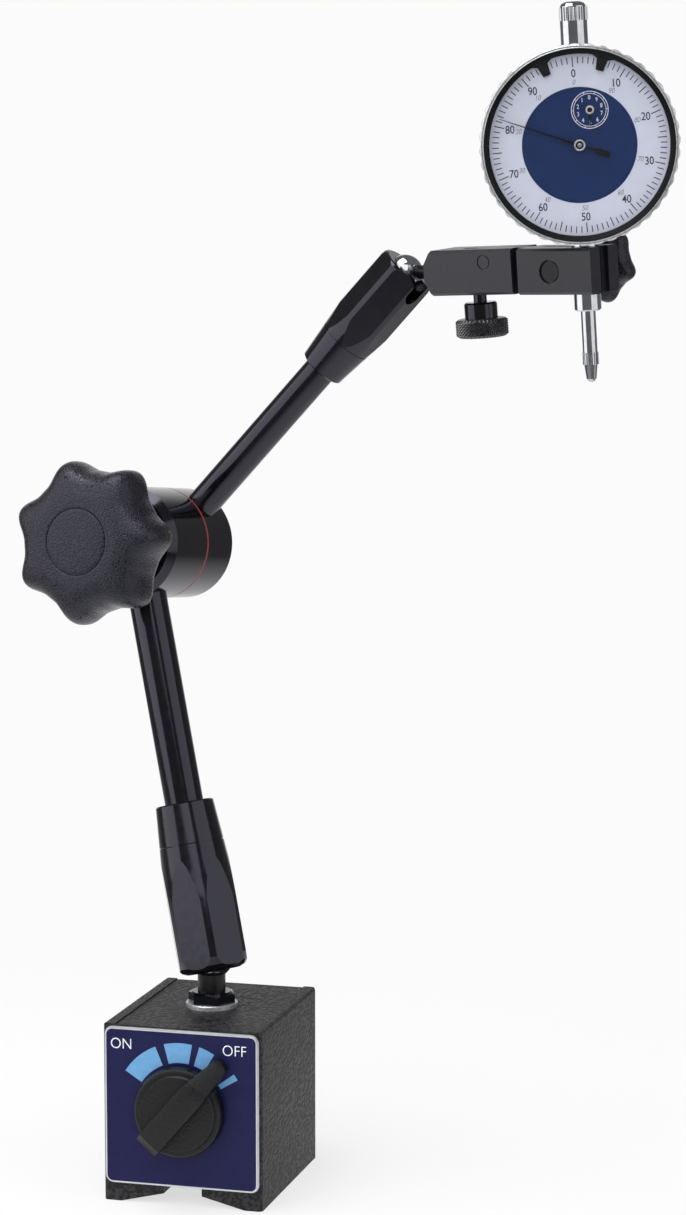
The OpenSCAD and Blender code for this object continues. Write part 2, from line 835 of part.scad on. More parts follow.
// Sleeve that holds a ball at its foot and a tube at its head
module ball_sleeve(r, lip, skirt, length, head_d, max_d, flats, edge, taper, groove, tube_d) {
    foot = lip + skirt;
    head = length - foot;
    mouth_r = sqrt(pow(r, 2) - pow(lip, 2));
    chamber = head - tube_grip - 3;
    head_r = head_d / 2;
    max_r = max_d / 2;
    slope = (max_r - head_r) / taper;
    difference() {
        intersection() {
            rotate_extrude()
                polygon([
                    [0, -foot], [max_r - edge, -foot], [max_r - edge / 2, -foot + edge * 0.2],
                    [max_r - edge / 6, -foot + edge * 0.65], [max_r, -foot + edge * 1.4],
                    [max_r, head - taper],
                    [head_r + groove * slope, head - groove], [head_r + groove * slope - 0.25, head - groove],
                    [head_r + groove * slope - 0.25, head - groove + 0.3],
                    [head_r + groove * slope - 0.03, head - groove + 0.3],
                    [head_r + 0.4 * slope, head - 0.4], [head_r - 0.4, head], [0, head]
                ]);
            translate([0, 0, -foot])
                cylinder(d = flats / cos(30), h = length, $fn = 6);
        }
        sphere(r = r + run_gap);
        translate([0, 0, -foot - cut])
            cylinder(r1 = mouth_r + (skirt + cut) * mouth_flare, r2 = mouth_r, h = skirt + cut);
        cylinder(r = r + run_gap, h = chamber);
        cylinder(d = rod_d + 1, h = head);
        translate([0, 0, head - tube_grip])
            cylinder(d = tube_d + 2 * set_gap, h = tube_grip + cut);
    }
}

module lower_seat() {
    color(brass)
        at_lower_arm()
            ball_pad(low_ball_r);
}

// Turn of the lower sleeve's flats, so that one corner faces the viewer
low_flats_turn = 1.7;
low_groove = 13;
low_edge = 3.2;

module lower_sleeve() {
    color(gloss_black)
        at_lower_arm()
            rotate([0, 0, low_flats_turn])
                ball_sleeve(low_ball_r, low_lip, low_skirt, low_sleeve_len, low_sleeve_d,
                            low_sleeve_max, low_flats, low_edge, low_taper, low_groove, low_tube_d);
}

module lower_tube() {
    from = low_sleeve_len - low_lip - low_skirt - tube_grip;
    color(gloss_black)
        at_lower_arm()
            translate([0, 0, from])
                pipe(low_tube_d, low_tube_bore, low_arm - hub_r + tube_in_hub - from);
}

// Push rod with rounded ends, between a seat and the hub's bolt
module push_rod(from, to) {
    rotate_extrude()
        polygon([
            [0, from], [rod_d / 2 - 0.8, from], [rod_d / 2, from + 0.8],
            [rod_d / 2, to - 1], [rod_d / 2 - 1, to], [0, to]
        ]);
}

module lower_push_rod() {
    color(bright_steel)
        at_lower_arm()
            push_rod(seat_gap + seat_t + run_gap, low_arm - rod_end_r);
}

module hub_front() {
    color(gloss_black)
        difference() {
            at_hub()
                difference() {
                    rotate_extrude()
                        polygon([
                            [bolt_d / 2 + run_gap, ring_z], [hub_r, ring_z], [hub_r, hub_front_z - hub_chamfer],
                            [hub_r - hub_chamfer, hub_front_z],
                            [bolt_d / 2 + run_gap, hub_front_z]
                        ]);
                }
            at_lower_arm()
                translate([0, 0, low_arm - hub_r - cut])
                    cylinder(d = low_tube_d + 2 * set_gap, h = tube_in_hub + cut);
            at_lower_arm()
                translate([0, 0, low_arm - hub_r])
                    cylinder(d = rod_d + 0.6, h = hub_r);
        }
}

module friction_ring() {
    color(ring_red)
        at_hub()
            translate([0, 0, ring_z - ring_t + 0.05])
                pipe(hub_d, hub_d - 2 * ring_w, ring_t - 0.05);
}

// Rings of the star knob from its pocket, over the rim, to the crown
function star_rings() = let (r = star_d / 2, h = star_hollow, t = star_rim_h,
                             low = crown_z - t, cap_r = star_cap_d / 2 + 0.15) [
    [star_z + bush_len + 0.1, bush_d / 2 + 0.1, 0], [star_z, bush_d / 2 + 0.1, 0],
    [star_z, bush_d / 2 + 3, 0], [low - 1.5, bush_d / 2 + 3.4, 0],
    [low, bush_d / 2 + 5, 0.02], [low + t * 0.02, r * 0.72, h * 0.55],
    [low + t * 0.08, r * 0.9, h * 0.9], [low + t * 0.2, r * 0.985, h], [low + t * 0.4, r, h],
    [low + t * 0.59, r * 0.985, h], [low + t * 0.75, r * 0.94, h * 0.98],
    [low + t * 0.86, r * 0.865, h * 0.9], [low + t * 0.93, r * 0.76, h * 0.7],
    [low + t * 0.965, r * 0.64, h * 0.4], [low + t * 0.985, r * 0.53, h * 0.12],
    [crown_z - 0.15, cap_r, 0], [crown_z - cap_t, cap_r, 0]
];

module star_knob() {
    color(knob_black)
        at_hub()
            lobed_solid(star_rings(), star_lobes, star_phase, 84);
}

module knob_bush() {
    color(brass)
        at_hub()
            translate([0, 0, star_z])
                difference() {
                    cylinder(d = bush_d, h = bush_len);
                    translate([0, 0, -cut])
                        cylinder(d = bolt_thread_d + 2 * run_gap, h = bush_len - 2 + cut);
                }
}

module knob_cap() {
    color(knob_black)
        at_hub()
            rotate_extrude()
                polygon([
                    [0, crown_z - cap_t], [star_cap_d / 2, crown_z - cap_t],
                    [star_cap_d / 2, crown_z - 0.25], [star_cap_d / 2 - 0.3, crown_z - 0.1],
                    [star_cap_d / 3, crown_z + 0.12], [star_cap_d / 6, crown_z + 0.22], [0, crown_z + 0.25]
                ]);
}

module hub_rear() {
    color(gloss_black)
        difference() {
            at_hub()
                rotate_extrude()
                    polygon([
                        [0, rear_end_z], [hub_r - hub_rear_chamfer, rear_end_z],
                        [hub_r, rear_end_z + hub_rear_chamfer], [hub_r, rear_front_z],
                        [bolt_d / 2 + set_gap, rear_front_z],
                        [bolt_d / 2 + set_gap, rear_end_z + rear_skin], [0, rear_end_z + rear_skin]
                    ]);
            at_upper_arm()
                translate([0, 0, hub_r - tube_in_hub])
                    cylinder(d = up_tube_d + 2 * set_gap, h = tube_in_hub + cut);
            at_upper_arm()
                cylinder(d = rod_d + 0.6, h = hub_r);
        }
}

// Bolt fixed in the rear half: a waist under each push rod and a threaded end in the knob
module centre_bolt() {
    waist = bolt_d / 2 - 0.8;
    lift = rod_d / 2 + 0.4;
    up_z = ring_z - up_tube_behind;
    color(bright_steel)
        at_hub()
            rotate_extrude()
                polygon([
                    [0, rear_end_z + rear_skin], [bolt_d / 2, rear_end_z + rear_skin],
                    [bolt_d / 2, up_z - lift], [waist, up_z], [bolt_d / 2, up_z + lift],
                    [bolt_d / 2, -lift], [waist, 0], [bolt_d / 2, lift],
                    [bolt_d / 2, hub_front_z - 0.5], [bolt_thread_d / 2, hub_front_z],
                    [bolt_thread_d / 2, star_z + bush_len - 3.5],
                    [bolt_thread_d / 2 - 0.6, star_z + bush_len - 2.8], [0, star_z + bush_len - 2.8]
                ]);
}

// Upper tube's inner end in the sleeve, from the hub axis
up_tube_to = up_arm - (up_sleeve_len - up_lip) + tube_grip;

module upper_tube() {
    color(gloss_black)
        at_upper_arm()
            translate([0, 0, hub_r - tube_in_hub])
                pipe(up_tube_d, up_tube_bore, up_tube_to - hub_r + tube_in_hub);
}

module upper_push_rod() {
    color(bright_steel)
        at_upper_arm()
            push_rod(rod_end_r, up_arm - seat_gap - seat_t - run_gap);
}

// Turn of the upper sleeve's flats, so that one of them faces the viewer
up_flats_turn = 33.3;
up_groove = 12;
up_edge = 1.3;

module upper_sleeve() {
    color(gloss_black)
        at_upper_ball()
            difference() {
                rotate([0, 0, up_flats_turn])
                    ball_sleeve(up_ball_r, up_lip, 0, up_sleeve_len, up_sleeve_d, up_sleeve_max,
                                up_flats, up_edge, up_taper, up_groove, up_tube_d);
                rotate([0, 0, -neck_dir])
                    fold_slot();
            }
}

// Slot through one side of the upper sleeve, round at its end
module fold_slot() {
    bottom = fold_slot_len - up_lip - fold_slot_w / 2;
    translate([0, -fold_slot_w / 2, -up_lip - cut])
        cube([up_sleeve_max, fold_slot_w, bottom + up_lip + cut]);
    translate([0, 0, bottom])
        rotate([0, 90, 0])
            cylinder(d = fold_slot_w, h = up_sleeve_max);
}

module upper_seat() {
    color(brass)
        at_upper_ball()
            ball_pad(up_ball_r);
}

module upper_ball() {
    color(bright_steel)
        at_holder()
            rotate([0, -90, 0])
                bored_ball(up_ball_r, up_flat_x);
}

// Depth of the neck's thread in the fork
neck_thread_d = 5;
neck_thread_len = 8;

module neck_stud() {
    color(gloss_black)
        at_holder()
            rotate([0, 90, 0])
                rotate_extrude()
                    polygon([
                        [0, -spigot_in], [spigot_d / 2, -spigot_in],
                        [spigot_d / 2, up_flat_x + run_gap], [up_neck_d / 2, up_flat_x + run_gap],
                        [up_neck_d / 2, neck_len - 3], [neck_shoulder_d / 2, neck_len - 2.6],
                        [neck_shoulder_d / 2, neck_len], [neck_thread_d / 2, neck_len],
                        [neck_thread_d / 2, neck_len + neck_thread_len],
                        [0, neck_len + neck_thread_len]
                    ]);
}

// Ring sunk round the hinge pin's front end
pin_relief = 0.35;

// Chamfered bar along +X
module bar(from, length) {
    translate([from, 0, 0])
        rotate([90, 0, 90])
            linear_extrude(height = length)
                polygon(bar_section(holder_d, holder_h, holder_chamfer));
}

module holder_fork() {
    h = holder_h / 2;
    color(gloss_black)
        at_holder()
            difference() {
                intersection() {
                    bar(neck_len, fork_len);
                    translate([neck_len, holder_d, 0])
                        rotate([90, 0, 0])
                            linear_extrude(height = 2 * holder_d)
                                polygon([
                                    [0, fork_bevel_h - h], [fork_bevel, -h], [fork_len, -h],
                                    [fork_len, h], [fork_bevel, h], [0, h - fork_bevel_h]
                                ]);
                }
                translate([fork_slot_x, -tongue_w / 2 - tongue_side_gap, fork_floor_z])
                    cube([fork_len, tongue_w + 2 * tongue_side_gap, holder_h]);
                translate([neck_len - cut, 0, 0])
                    rotate([0, 90, 0])
                        cylinder(d = neck_thread_d + 2 * set_gap, h = neck_thread_len + cut + 0.2);
                translate([pin_x, 0, pin_up])
                    along_y(pin_d + 2 * set_gap, -holder_d, holder_d);
                translate([pin_x, 0, pin_up])
                    along_y(pin_d + 2 * pin_relief, -holder_d, pin_relief - holder_d / 2);
                translate([fine_x, 0, -holder_h])
                    cylinder(d = fine_d + 2 * run_gap, h = holder_h);
                translate([spring_x, 0, fork_floor_z - 2])
                    cylinder(d = spring_d + 0.3, h = 2 + cut);
            }
}

module hinge_pin() {
    color(gloss_black)
        at_holder()
            translate([pin_x, 0, pin_up])
                along_y(pin_d, -holder_d / 2 + 0.1, holder_d / 2 - 0.1);
}

// Spring under the tongue, kept short of it by the tilt's travel
module fine_spring() {
    color(bright_steel)
        at_holder()
            translate([spring_x, 0, fork_floor_z - 1.9])
                pipe(spring_d, spring_d - 1.2, 2.1);
}

// Fine screw from its tip under the tongue down to the knurled head
fine_tip_z = tongue_low_z - 0.4;
fine_collar_z = -holder_h / 2 - fine_gap - fine_collar_t;

module fine_screw() {
    color(knob_black)
        at_holder()
            translate([fine_x, 0, 0])
                union() {
                    rotate_extrude()
                        polygon([
                            [0, fine_collar_z], [fine_collar_d / 2, fine_collar_z],
                            [fine_collar_d / 2, fine_collar_z + fine_collar_t - 0.6],
                            [fine_collar_d / 2 - 0.6, fine_collar_z + fine_collar_t],
                            [fine_d / 2, fine_collar_z + fine_collar_t],
                            [fine_d / 2, fine_tip_z - 0.5], [fine_d / 2 - 0.5, fine_tip_z], [0, fine_tip_z]
                        ]);
                    translate([0, 0, fine_collar_z - fine_head_t])
                        intersection() {
                            linear_extrude(height = fine_head_t)
                                polygon(toothed(44, fine_head_d / 2 - 0.35, fine_head_d / 2, 0.9, 0.3));
                            rotate_extrude()
                                polygon([
                                    [0, 0], [fine_head_d / 2 - 0.9, 0], [fine_head_d / 2, 0.8],
                                    [fine_head_d / 2, fine_head_t - 0.8],
                                    [fine_head_d / 2 - 0.9, fine_head_t], [0, fine_head_t]
                                ]);
                        }
                }
}

// Screw's counterbore at the front of the clamp
clamp_bore_d = 7;
clamp_bore_t = 1;
slit_from = clamp_screw_x - 6;

module clamp_block() {
    top = holder_h / 2;
    color(gloss_black)
        at_clamp()
            difference() {
                union() {
                    bar(clamp_x, clamp_len);
                    translate([tongue_x, -tongue_w / 2, tongue_low_z])
                        cube([clamp_x - tongue_x + 1, tongue_w, top - tongue_low_z]);
                }
                translate([pin_x, 0, pin_up])
                    along_y(pin_d + 2 * run_gap, -holder_d, holder_d);
                translate([stem_x, 0, -holder_h])
                    cylinder(d = stem_d + 2 * run_gap, h = 2 * holder_h);
                translate([slit_from, -jaw_slit / 2, -holder_h])
                    cube([clamp_len, jaw_slit, 2 * holder_h]);
                translate([clamp_screw_x, 0, 0])
                    along_y(clamp_screw_d + 2 * run_gap, -holder_d, holder_d);
                translate([clamp_screw_x, 0, 0])
                    along_y(clamp_bore_d, -holder_d, -holder_d / 2 + clamp_bore_t);
                translate([clamp_end_x, 0, -holder_h])
                    linear_extrude(height = 2 * holder_h)
                        polygon([
                            [cut, -dovetail_w / 2], [0, -dovetail_w / 2],
                            [-dovetail_t, -dovetail_w / 2 - dovetail_t * tan(30)],
                            [-dovetail_t, dovetail_w / 2 + dovetail_t * tan(30)],
                            [0, dovetail_w / 2], [cut, dovetail_w / 2]
                        ]);
            }
}

// Depths behind the clamp at which the knob's boss and lobes begin
boss_y = holder_d / 2 + 0.3;
lobes_y = boss_y + clamp_boss_t;
clamp_insert = 6;
clamp_phase = 16.6;

module clamp_screw() {
    color(bright_steel)
        at_clamp()
            translate([clamp_screw_x, 0, 0])
                along_y(clamp_screw_d, -holder_d / 2 + 0.5, lobes_y + clamp_insert);
}

// Rings of the clamp knob from its pocket, over the lobes, to the back
function clamp_rings() = let (r = clamp_knob_d / 2, h = 0.17, t = clamp_knob_t,
                              pocket = clamp_screw_d / 2 + 0.1) [
    [lobes_y + clamp_insert + 0.1, pocket, 0], [boss_y, pocket, 0],
    [boss_y, r * 0.54, 0], [lobes_y - 0.4, r * 0.58, 0], [lobes_y, r * 0.74, h * 0.6],
    [lobes_y + t * 0.1, r * 0.93, h], [lobes_y + t * 0.35, r, h], [lobes_y + t * 0.62, r * 0.98, h],
    [lobes_y + t * 0.82, r * 0.88, h * 0.9], [lobes_y + t * 0.94, r * 0.7, h * 0.5],
    [lobes_y + t, r * 0.45, 0]
];

module clamp_knob() {
    color(knob_black)
        at_clamp()
            translate([clamp_screw_x, 0, 0])
                rotate([-90, 0, 0])
                    lobed_solid(clamp_rings(), clamp_lobes, clamp_phase, 60);
}

module case() {
    color(bright_steel)
        difference() {
            at_dial()
                difference() {
                    translate([0, 0, case_back])
                        cylinder(r = case_r, h = case_t);
                    translate([0, 0, case_back - cut])
                        cylinder(r = case_in_r, h = case_t + 2 * cut);
                    screw_places()
                        cylinder(d = screw_d + 2 * set_gap, h = 2 * screw_len, center = true);
                }
            at_indicator()
                translate([0, 0, dial_z - case_r - cut])
                    cylinder(d = stem_d + 2 * set_gap, h = case_r);
            at_indicator()
                translate([0, 0, dial_z])
                    cylinder(d = stem_d + 2 * set_gap, h = case_r + cut);
        }
}

// Screws of the back cover
screw_d = 1.2;
screw_len = 5;
screw_head_d = 2;
screw_head_t = 0.9;
screw_circle_r = case_r - case_wall / 2;

module screw_places() {
    for (a = [45:90:315])
        rotate([0, 0, a])
            translate([screw_circle_r, 0, case_back])
                children();
}

module back_cover() {
    color(bright_steel)
        at_dial()
            difference() {
                rotate_extrude()
                    polygon([
                        [0, case_back - cover_t], [case_r - 0.8, case_back - cover_t],
                        [case_r - 0.1, case_back - cover_t + 0.7], [case_r - 0.1, case_back], [0, case_back]
                    ]);
                screw_places()
                    translate([0, 0, -2 * cover_t])
                        cylinder(d = screw_d + 2 * set_gap, h = 4 * cover_t);
                screw_places()
                    translate([0, 0, -2 * cover_t])
                        cylinder(d = screw_head_d + 2 * set_gap, h = cover_t + screw_head_t);
            }
}

module cover_screws() {
    color(bright_steel)
        at_dial()
            screw_places()
                rotate_extrude()
                    polygon([
                        [0, -cover_t], [screw_head_d / 2, -cover_t],
                        [screw_head_d / 2, screw_head_t - cover_t], [screw_d / 2, screw_head_t - cover_t],
                        [screw_d / 2, screw_len - cover_t], [0, screw_len - cover_t]
                    ]);
}

module stem() {
    color(bright_steel)
        at_indicator()
            rotate_extrude()
                polygon([
                    [stem_bore, -stem_low], [stem_d / 2 - 0.4, -stem_low], [stem_d / 2, -stem_low + 0.4],
                    [stem_d / 2, dial_z - case_in_r - 0.4], [stem_bore, dial_z - case_in_r - 0.4]
                ]);
}

// Levels of the upper tube and its cap on the stem's axis
tube_top_z = dial_z + case_r + top_tube_h;
cap_top_z = tube_top_z + top_cap_h;
thread_r = 3;
thread_h = 2.2;

module top_tube() {
    color(bright_steel)
        at_indicator()
            rotate_extrude()
                polygon([
                    [tube_bore, dial_z + case_in_r + 0.4], [stem_d / 2, dial_z + case_in_r + 0.4],
                    [stem_d / 2, tube_top_z], [thread_r, tube_top_z],
                    [thread_r, tube_top_z + thread_h], [tube_bore, tube_top_z + thread_h]
                ]);
}

module top_cap() {
    knurl_h = top_cap_h * 0.7;
    color(bright_steel)
        at_indicator()
            difference() {
                union() {
                    translate([0, 0, tube_top_z])
                        linear_extrude(height = knurl_h)
                            polygon(toothed(30, top_cap_d / 2 - 0.2, top_cap_d / 2, 0.9, 0.3));
                    rotate_extrude()
                        polygon([
                            [0, tube_top_z + knurl_h - 0.2], [top_cap_d / 2 - 0.4, tube_top_z + knurl_h - 0.2],
                            [top_cap_d / 2 - 0.4, tube_top_z + knurl_h + 0.3],
                            [top_cap_d / 2 - 0.9, cap_top_z - 0.6], [top_cap_d / 2 - 1.8, cap_top_z - 0.15],
                            [1, cap_top_z], [0, cap_top_z]
                        ]);
                }
                translate([0, 0, tube_top_z - cut])
                    cylinder(r = thread_r + set_gap, h = thread_h + cut + 0.1);
                translate([0, 0, tube_top_z])
                    cylinder(r = tube_bore, h = top_cap_h - 0.8);
            }
}

// Both arbors beside the centre: the drive wheel below, the counter above
module at_drive() {
    translate([-counter_x, -counter_y, 0])
        children();
}

module at_counter() {
    translate([counter_x, counter_y, 0])
        children();
}

// Hole for an arbor
module arbor_hole() {
    cylinder(d = arbor_d + 2 * run_gap, h = 4 * case_t, center = true);
}

// Holes for the two hands through the face
module hand_holes() {
    arbor_hole();
    at_counter()
        arbor_hole();
}

// Holes for all the arbors through a plate of the movement
module arbor_holes() {
    hand_holes();
    at_drive()
        arbor_hole();
}

module front_plate() {
    color(brass)
        at_dial()
            difference() {
                translate([0, 0, plate_front - work_plate_t])
                    cylinder(r = case_in_r - set_gap, h = work_plate_t);
                arbor_holes();
            }
}

// Pillars that carry the bridge behind the front plate
pillar_x = 18.8;
pillar_y = 7.7;
pillar_d = 2.4;

module gear_bridge() {
    color(brass)
        at_dial()
            difference() {
                union() {
                    translate([0, 0, bridge_front - bridge_t])
                        intersection() {
                            cylinder(r = case_in_r - 2, h = bridge_t);
                            rotate([0, 0, mesh_dir])
                                translate([0, 0, bridge_t / 2])
                                    cube([2 * case_d, bridge_w, bridge_t], center = true);
                        }
                    for (x = [-pillar_x, pillar_x], y = [-pillar_y, pillar_y])
                        rotate([0, 0, mesh_dir])
                            translate([x, y, bridge_front - bridge_t])
                                cylinder(d = pillar_d,
                                         h = plate_front - work_plate_t - bridge_front + bridge_t);
                }
                arbor_holes();
            }
}

module hairspring() {
    color(bright_steel)
        at_dial()
            at_counter()
                translate([0, 0, plate_front - work_plate_t - 0.7])
                    pipe(8, 2, 0.4);
}

// Spring hooked between the case's floor and the spindle's side pin
pin_side_z = 20;
pin_side_x = 9.5;
spring_side_x = 8;

module return_spring() {
    low = dial_z - sqrt(pow(case_in_r, 2) - pow(spring_side_x + 1.6, 2)) + 0.5;
    color(bright_steel)
        at_indicator()
            translate([spring_side_x, 0, low])
                pipe(2.6, 1.6, pin_side_z - 1.1 - low);
}

module centre_disc() {
    color(dial_blue)
        at_dial()
            difference() {
                union() {
                    translate([0, 0, face_z])
                        cylinder(d = centre_d, h = face_t);
                    translate([0, 0, plate_front])
                        cylinder(d = centre_d - 4, h = face_z - plate_front);
                }
                hand_holes();
            }
}

module bezel() {
    color(bright_steel)
        at_dial()
            intersection() {
                translate([0, 0, bezel_back])
                    linear_extrude(height = bezel_front - bezel_back)
                        polygon(scalloped(bezel_r, scallop_t, bezel_scallops));
                rotate_extrude()
                    polygon([
                        [case_r + run_gap, bezel_back], [bezel_r - 0.8, bezel_back],
                        [bezel_r + 0.1, bezel_back + 0.9], [bezel_r + 0.1, bezel_front - 2.2],
                        [bezel_r - 0.5, bezel_front - 1.6], [seal_r + seal_w + 0.9, bezel_front - 0.5],
                        [seal_r + seal_w + 0.5, bezel_front], [seal_r + seal_w, bezel_front],
                        [seal_r + seal_w, crystal_z + crystal_t], [crystal_r + set_gap, crystal_z + crystal_t],
                        [crystal_r + set_gap, crystal_z], [dial_r, crystal_z],
                        [dial_r, case_front + 0.3], [case_r + run_gap, case_front + 0.3]
                    ]);
            }
}

module crystal() {
    color("#eef4f8", 0.3)
        at_dial()
            translate([0, 0, crystal_z])
                cylinder(r = crystal_r, h = crystal_t);
}

module seal_ring() {
    color(gloss_black)
        at_dial()
            rotate_extrude()
                polygon([
                    [seal_r, crystal_z + crystal_t], [seal_r + seal_w, crystal_z + crystal_t],
                    [seal_r + seal_w, bezel_front - 0.1], [seal_r + 0.4, bezel_front - 0.5]
                ]);
}

module scale_ring() {
    color(dial_white)
        at_dial()
            translate([0, 0, face_z])
                pipe(2 * (dial_r - set_gap), centre_d + 2 * run_gap, face_t);
}

// Limit marker: a pointed tongue on a short curved foot
marker_w = 3.2;
marker_in_r = dial_r - 4.15;

module marker(a) {
    outer = dial_r - run_gap;
    color(knob_black)
        at_dial()
            rotate([0, 0, a])
                translate([0, 0, marker_z])
                    intersection() {
                        linear_extrude(height = marker_t)
                            polygon([
                                [-marker_w * 0.34, marker_in_r], [marker_w * 0.34, marker_in_r],
                                [marker_w / 2, outer - 0.8], [marker_w, outer - 0.2], [marker_w, outer + cut],
                                [-marker_w, outer + cut], [-marker_w, outer - 0.2], [-marker_w / 2, outer - 0.8]
                            ]);
                        cylinder(r = outer, h = marker_t);
                    }
}

module marker_left() {
    marker(bezel_set + marker_dir);
}

module marker_right() {
    marker(bezel_set - marker_dir);
}

// Comb that cuts the rack's gaps along the spindle, with a gap at the rack pinion
function rack_cut() = let (pitch = PI * rack_module, mid = dial_z - counter_y,
                           first = ceil((rack_from - mid) / pitch), last = floor((rack_to - mid) / pitch),
                           tip = -rack_line - 0.13, root = -rack_line + 0.22) concat(
    [[-spindle_d, mid + (first - 0.5) * pitch]],
    [for (i = [first:last], k = [0:3])
        let (z = mid + i * pitch + [-0.36, -0.22, 0.22, 0.36][k] * pitch)
        [(k == 0 || k == 3) ? tip : root, z]],
    [[-spindle_d, mid + (last + 0.5) * pitch]]
);

contact_thread_d = 2.5;
contact_thread_len = 4;

module spindle() {
    color(bright_steel)
        at_indicator()
            union() {
                difference() {
                    translate([0, 0, -spindle_low])
                        cylinder(d = spindle_d, h = spindle_low + tube_top_z + top_cap_h - 2.2 - travel);
                    translate([0, spindle_d, 0])
                        rotate([90, 0, 0])
                            linear_extrude(height = 2 * spindle_d)
                                polygon(rack_cut());
                    translate([0, 0, -spindle_low - cut])
                        cylinder(d = contact_thread_d + 2 * set_gap, h = contact_thread_len + cut + 0.2);
                }
                translate([0, 0, pin_side_z])
                    rotate([0, 90, 0])
                        cylinder(d = 1.6, h = pin_side_x);
            }
}

module contact_point() {
    top = -spindle_low;
    end = -spindle_low - contact_len;
    collar = contact_len * 0.4;
    color(bright_steel)
        at_indicator()
            union() {
                translate([0, 0, top - collar])
                    linear_extrude(height = collar)
                        polygon(toothed(26, contact_d / 2 - 0.18, contact_d / 2, 0.9, 0.3));
                rotate_extrude()
                    polygon([
                        [0, top + contact_thread_len], [contact_thread_d / 2, top + contact_thread_len],
                        [contact_thread_d / 2, top - 0.2], [contact_d / 2 - 0.5, top - 0.2],
                        [contact_d / 2 - 0.5, top - collar], [contact_d / 2 - 1, end + 1.1],
                        [0, end + 1.1]
                    ]);
                translate([0, 0, end + 1.3])
                    sphere(r = 1.3);
            }
}

// Blade of the main hand along +Y: fine tip, slim waist and a broad tail
function hand_outline() = [
    [0.08, hand_len], [0.32, 4], [0.32, -4.6], [0.85, -5.4], [0.85, -9.1],
    [-0.85, -9.1], [-0.85, -5.4], [-0.32, -4.6], [-0.32, 4], [-0.08, hand_len]
];

module main_hand() {
    color(gloss_black)
        at_dial()
            rotate([0, 0, hand_dir])
                difference() {
                    union() {
                        translate([0, 0, hand_z])
                            linear_extrude(height = hand_t)
                                polygon(hand_outline());
                        translate([0, 0, hand_z - 0.2])
                            cylinder(r = 1.8, h = hand_t + 0.3);
                    }
                    cylinder(d = arbor_d + 2 * set_gap, h = 2 * bezel_front);
                }
}

// Arbor through the movement between two depths
module arbor(from, to) {
    translate([0, 0, from])
        cylinder(d = arbor_d, h = to - from);
}

// Large wheel with a tooth towards the centre pinion
module train_wheel(dir) {
    r = wheel_module * wheel_teeth / 2;
    translate([0, 0, wheel_z])
        linear_extrude(height = wheel_t)
            polygon(toothed(wheel_teeth, r - 0.24, r + 0.1, 0.44, 0.2, dir));
}

module centre_pinion() {
    r = wheel_module * pinion_teeth / 2;
    color(bright_steel)
        at_dial()
            union() {
                arbor(bridge_front - bridge_t, hand_z + hand_t + 0.25);
                translate([0, 0, wheel_z - 0.25])
                    linear_extrude(height = wheel_t + 0.5)
                        polygon(toothed(pinion_teeth, r - 0.22, r + 0.12, 0.44, 0.2,
                                        mesh_dir + 180 / pinion_teeth));
            }
}

module drive_wheel() {
    r = rack_module * rack_teeth / 2;
    color(brass)
        at_dial()
            at_drive()
                union() {
                    train_wheel(mesh_dir);
                    arbor(-1.4, plate_front - 0.1);
                    translate([0, 0, -1.2])
                        linear_extrude(height = 2.4)
                            polygon(toothed(rack_teeth, r - 0.22, r + 0.1, 0.44, 0.2));
                }
}

// Counter wheel with the small hand on the front of its arbor
module counter_wheel() {
    color(brass)
        at_dial()
            at_counter()
                union() {
                    train_wheel(mesh_dir + 180);
                    arbor(bridge_front - bridge_t, counter_hand_z + 0.3);
                    translate([0, 0, counter_hand_z])
                        cylinder(r = 1.3, h = 0.25);
                    translate([0, 0, counter_hand_z])
                        linear_extrude(height = 0.2)
                            polygon([[0.3, 0], [0.12, -4.2], [-0.12, -4.2], [-0.3, 0]]);
                }
}

pole_left();
pole_right();
brass_spacer();
bore_cap();
stop_pin();
face_plate();
magnet_rotor();
switch_shaft();
switch_knob();
lower_stud();
stud_washer();
stud_nut();
lower_ball();
lower_seat();
lower_sleeve();
lower_tube();
lower_push_rod();
hub_front();
friction_ring();
star_knob();
knob_bush();
knob_cap();
hub_rear();
centre_bolt();
upper_tube();
upper_push_rod();
upper_sleeve();
upper_seat();
upper_ball();
neck_stud();
holder_fork();
hinge_pin();
fine_spring();
fine_screw();
clamp_block();
clamp_screw();
clamp_knob();
case();
back_cover();
cover_screws();
stem();
top_tube();
top_cap();
front_plate();
gear_bridge();
hairspring();
return_spring();
centre_disc();
bezel();
crystal();
seal_ring();
scale_ring();
marker_left();
marker_right();
spindle();
contact_point();
main_hand();
centre_pinion();
drive_wheel();
counter_wheel();
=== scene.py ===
import json
import math

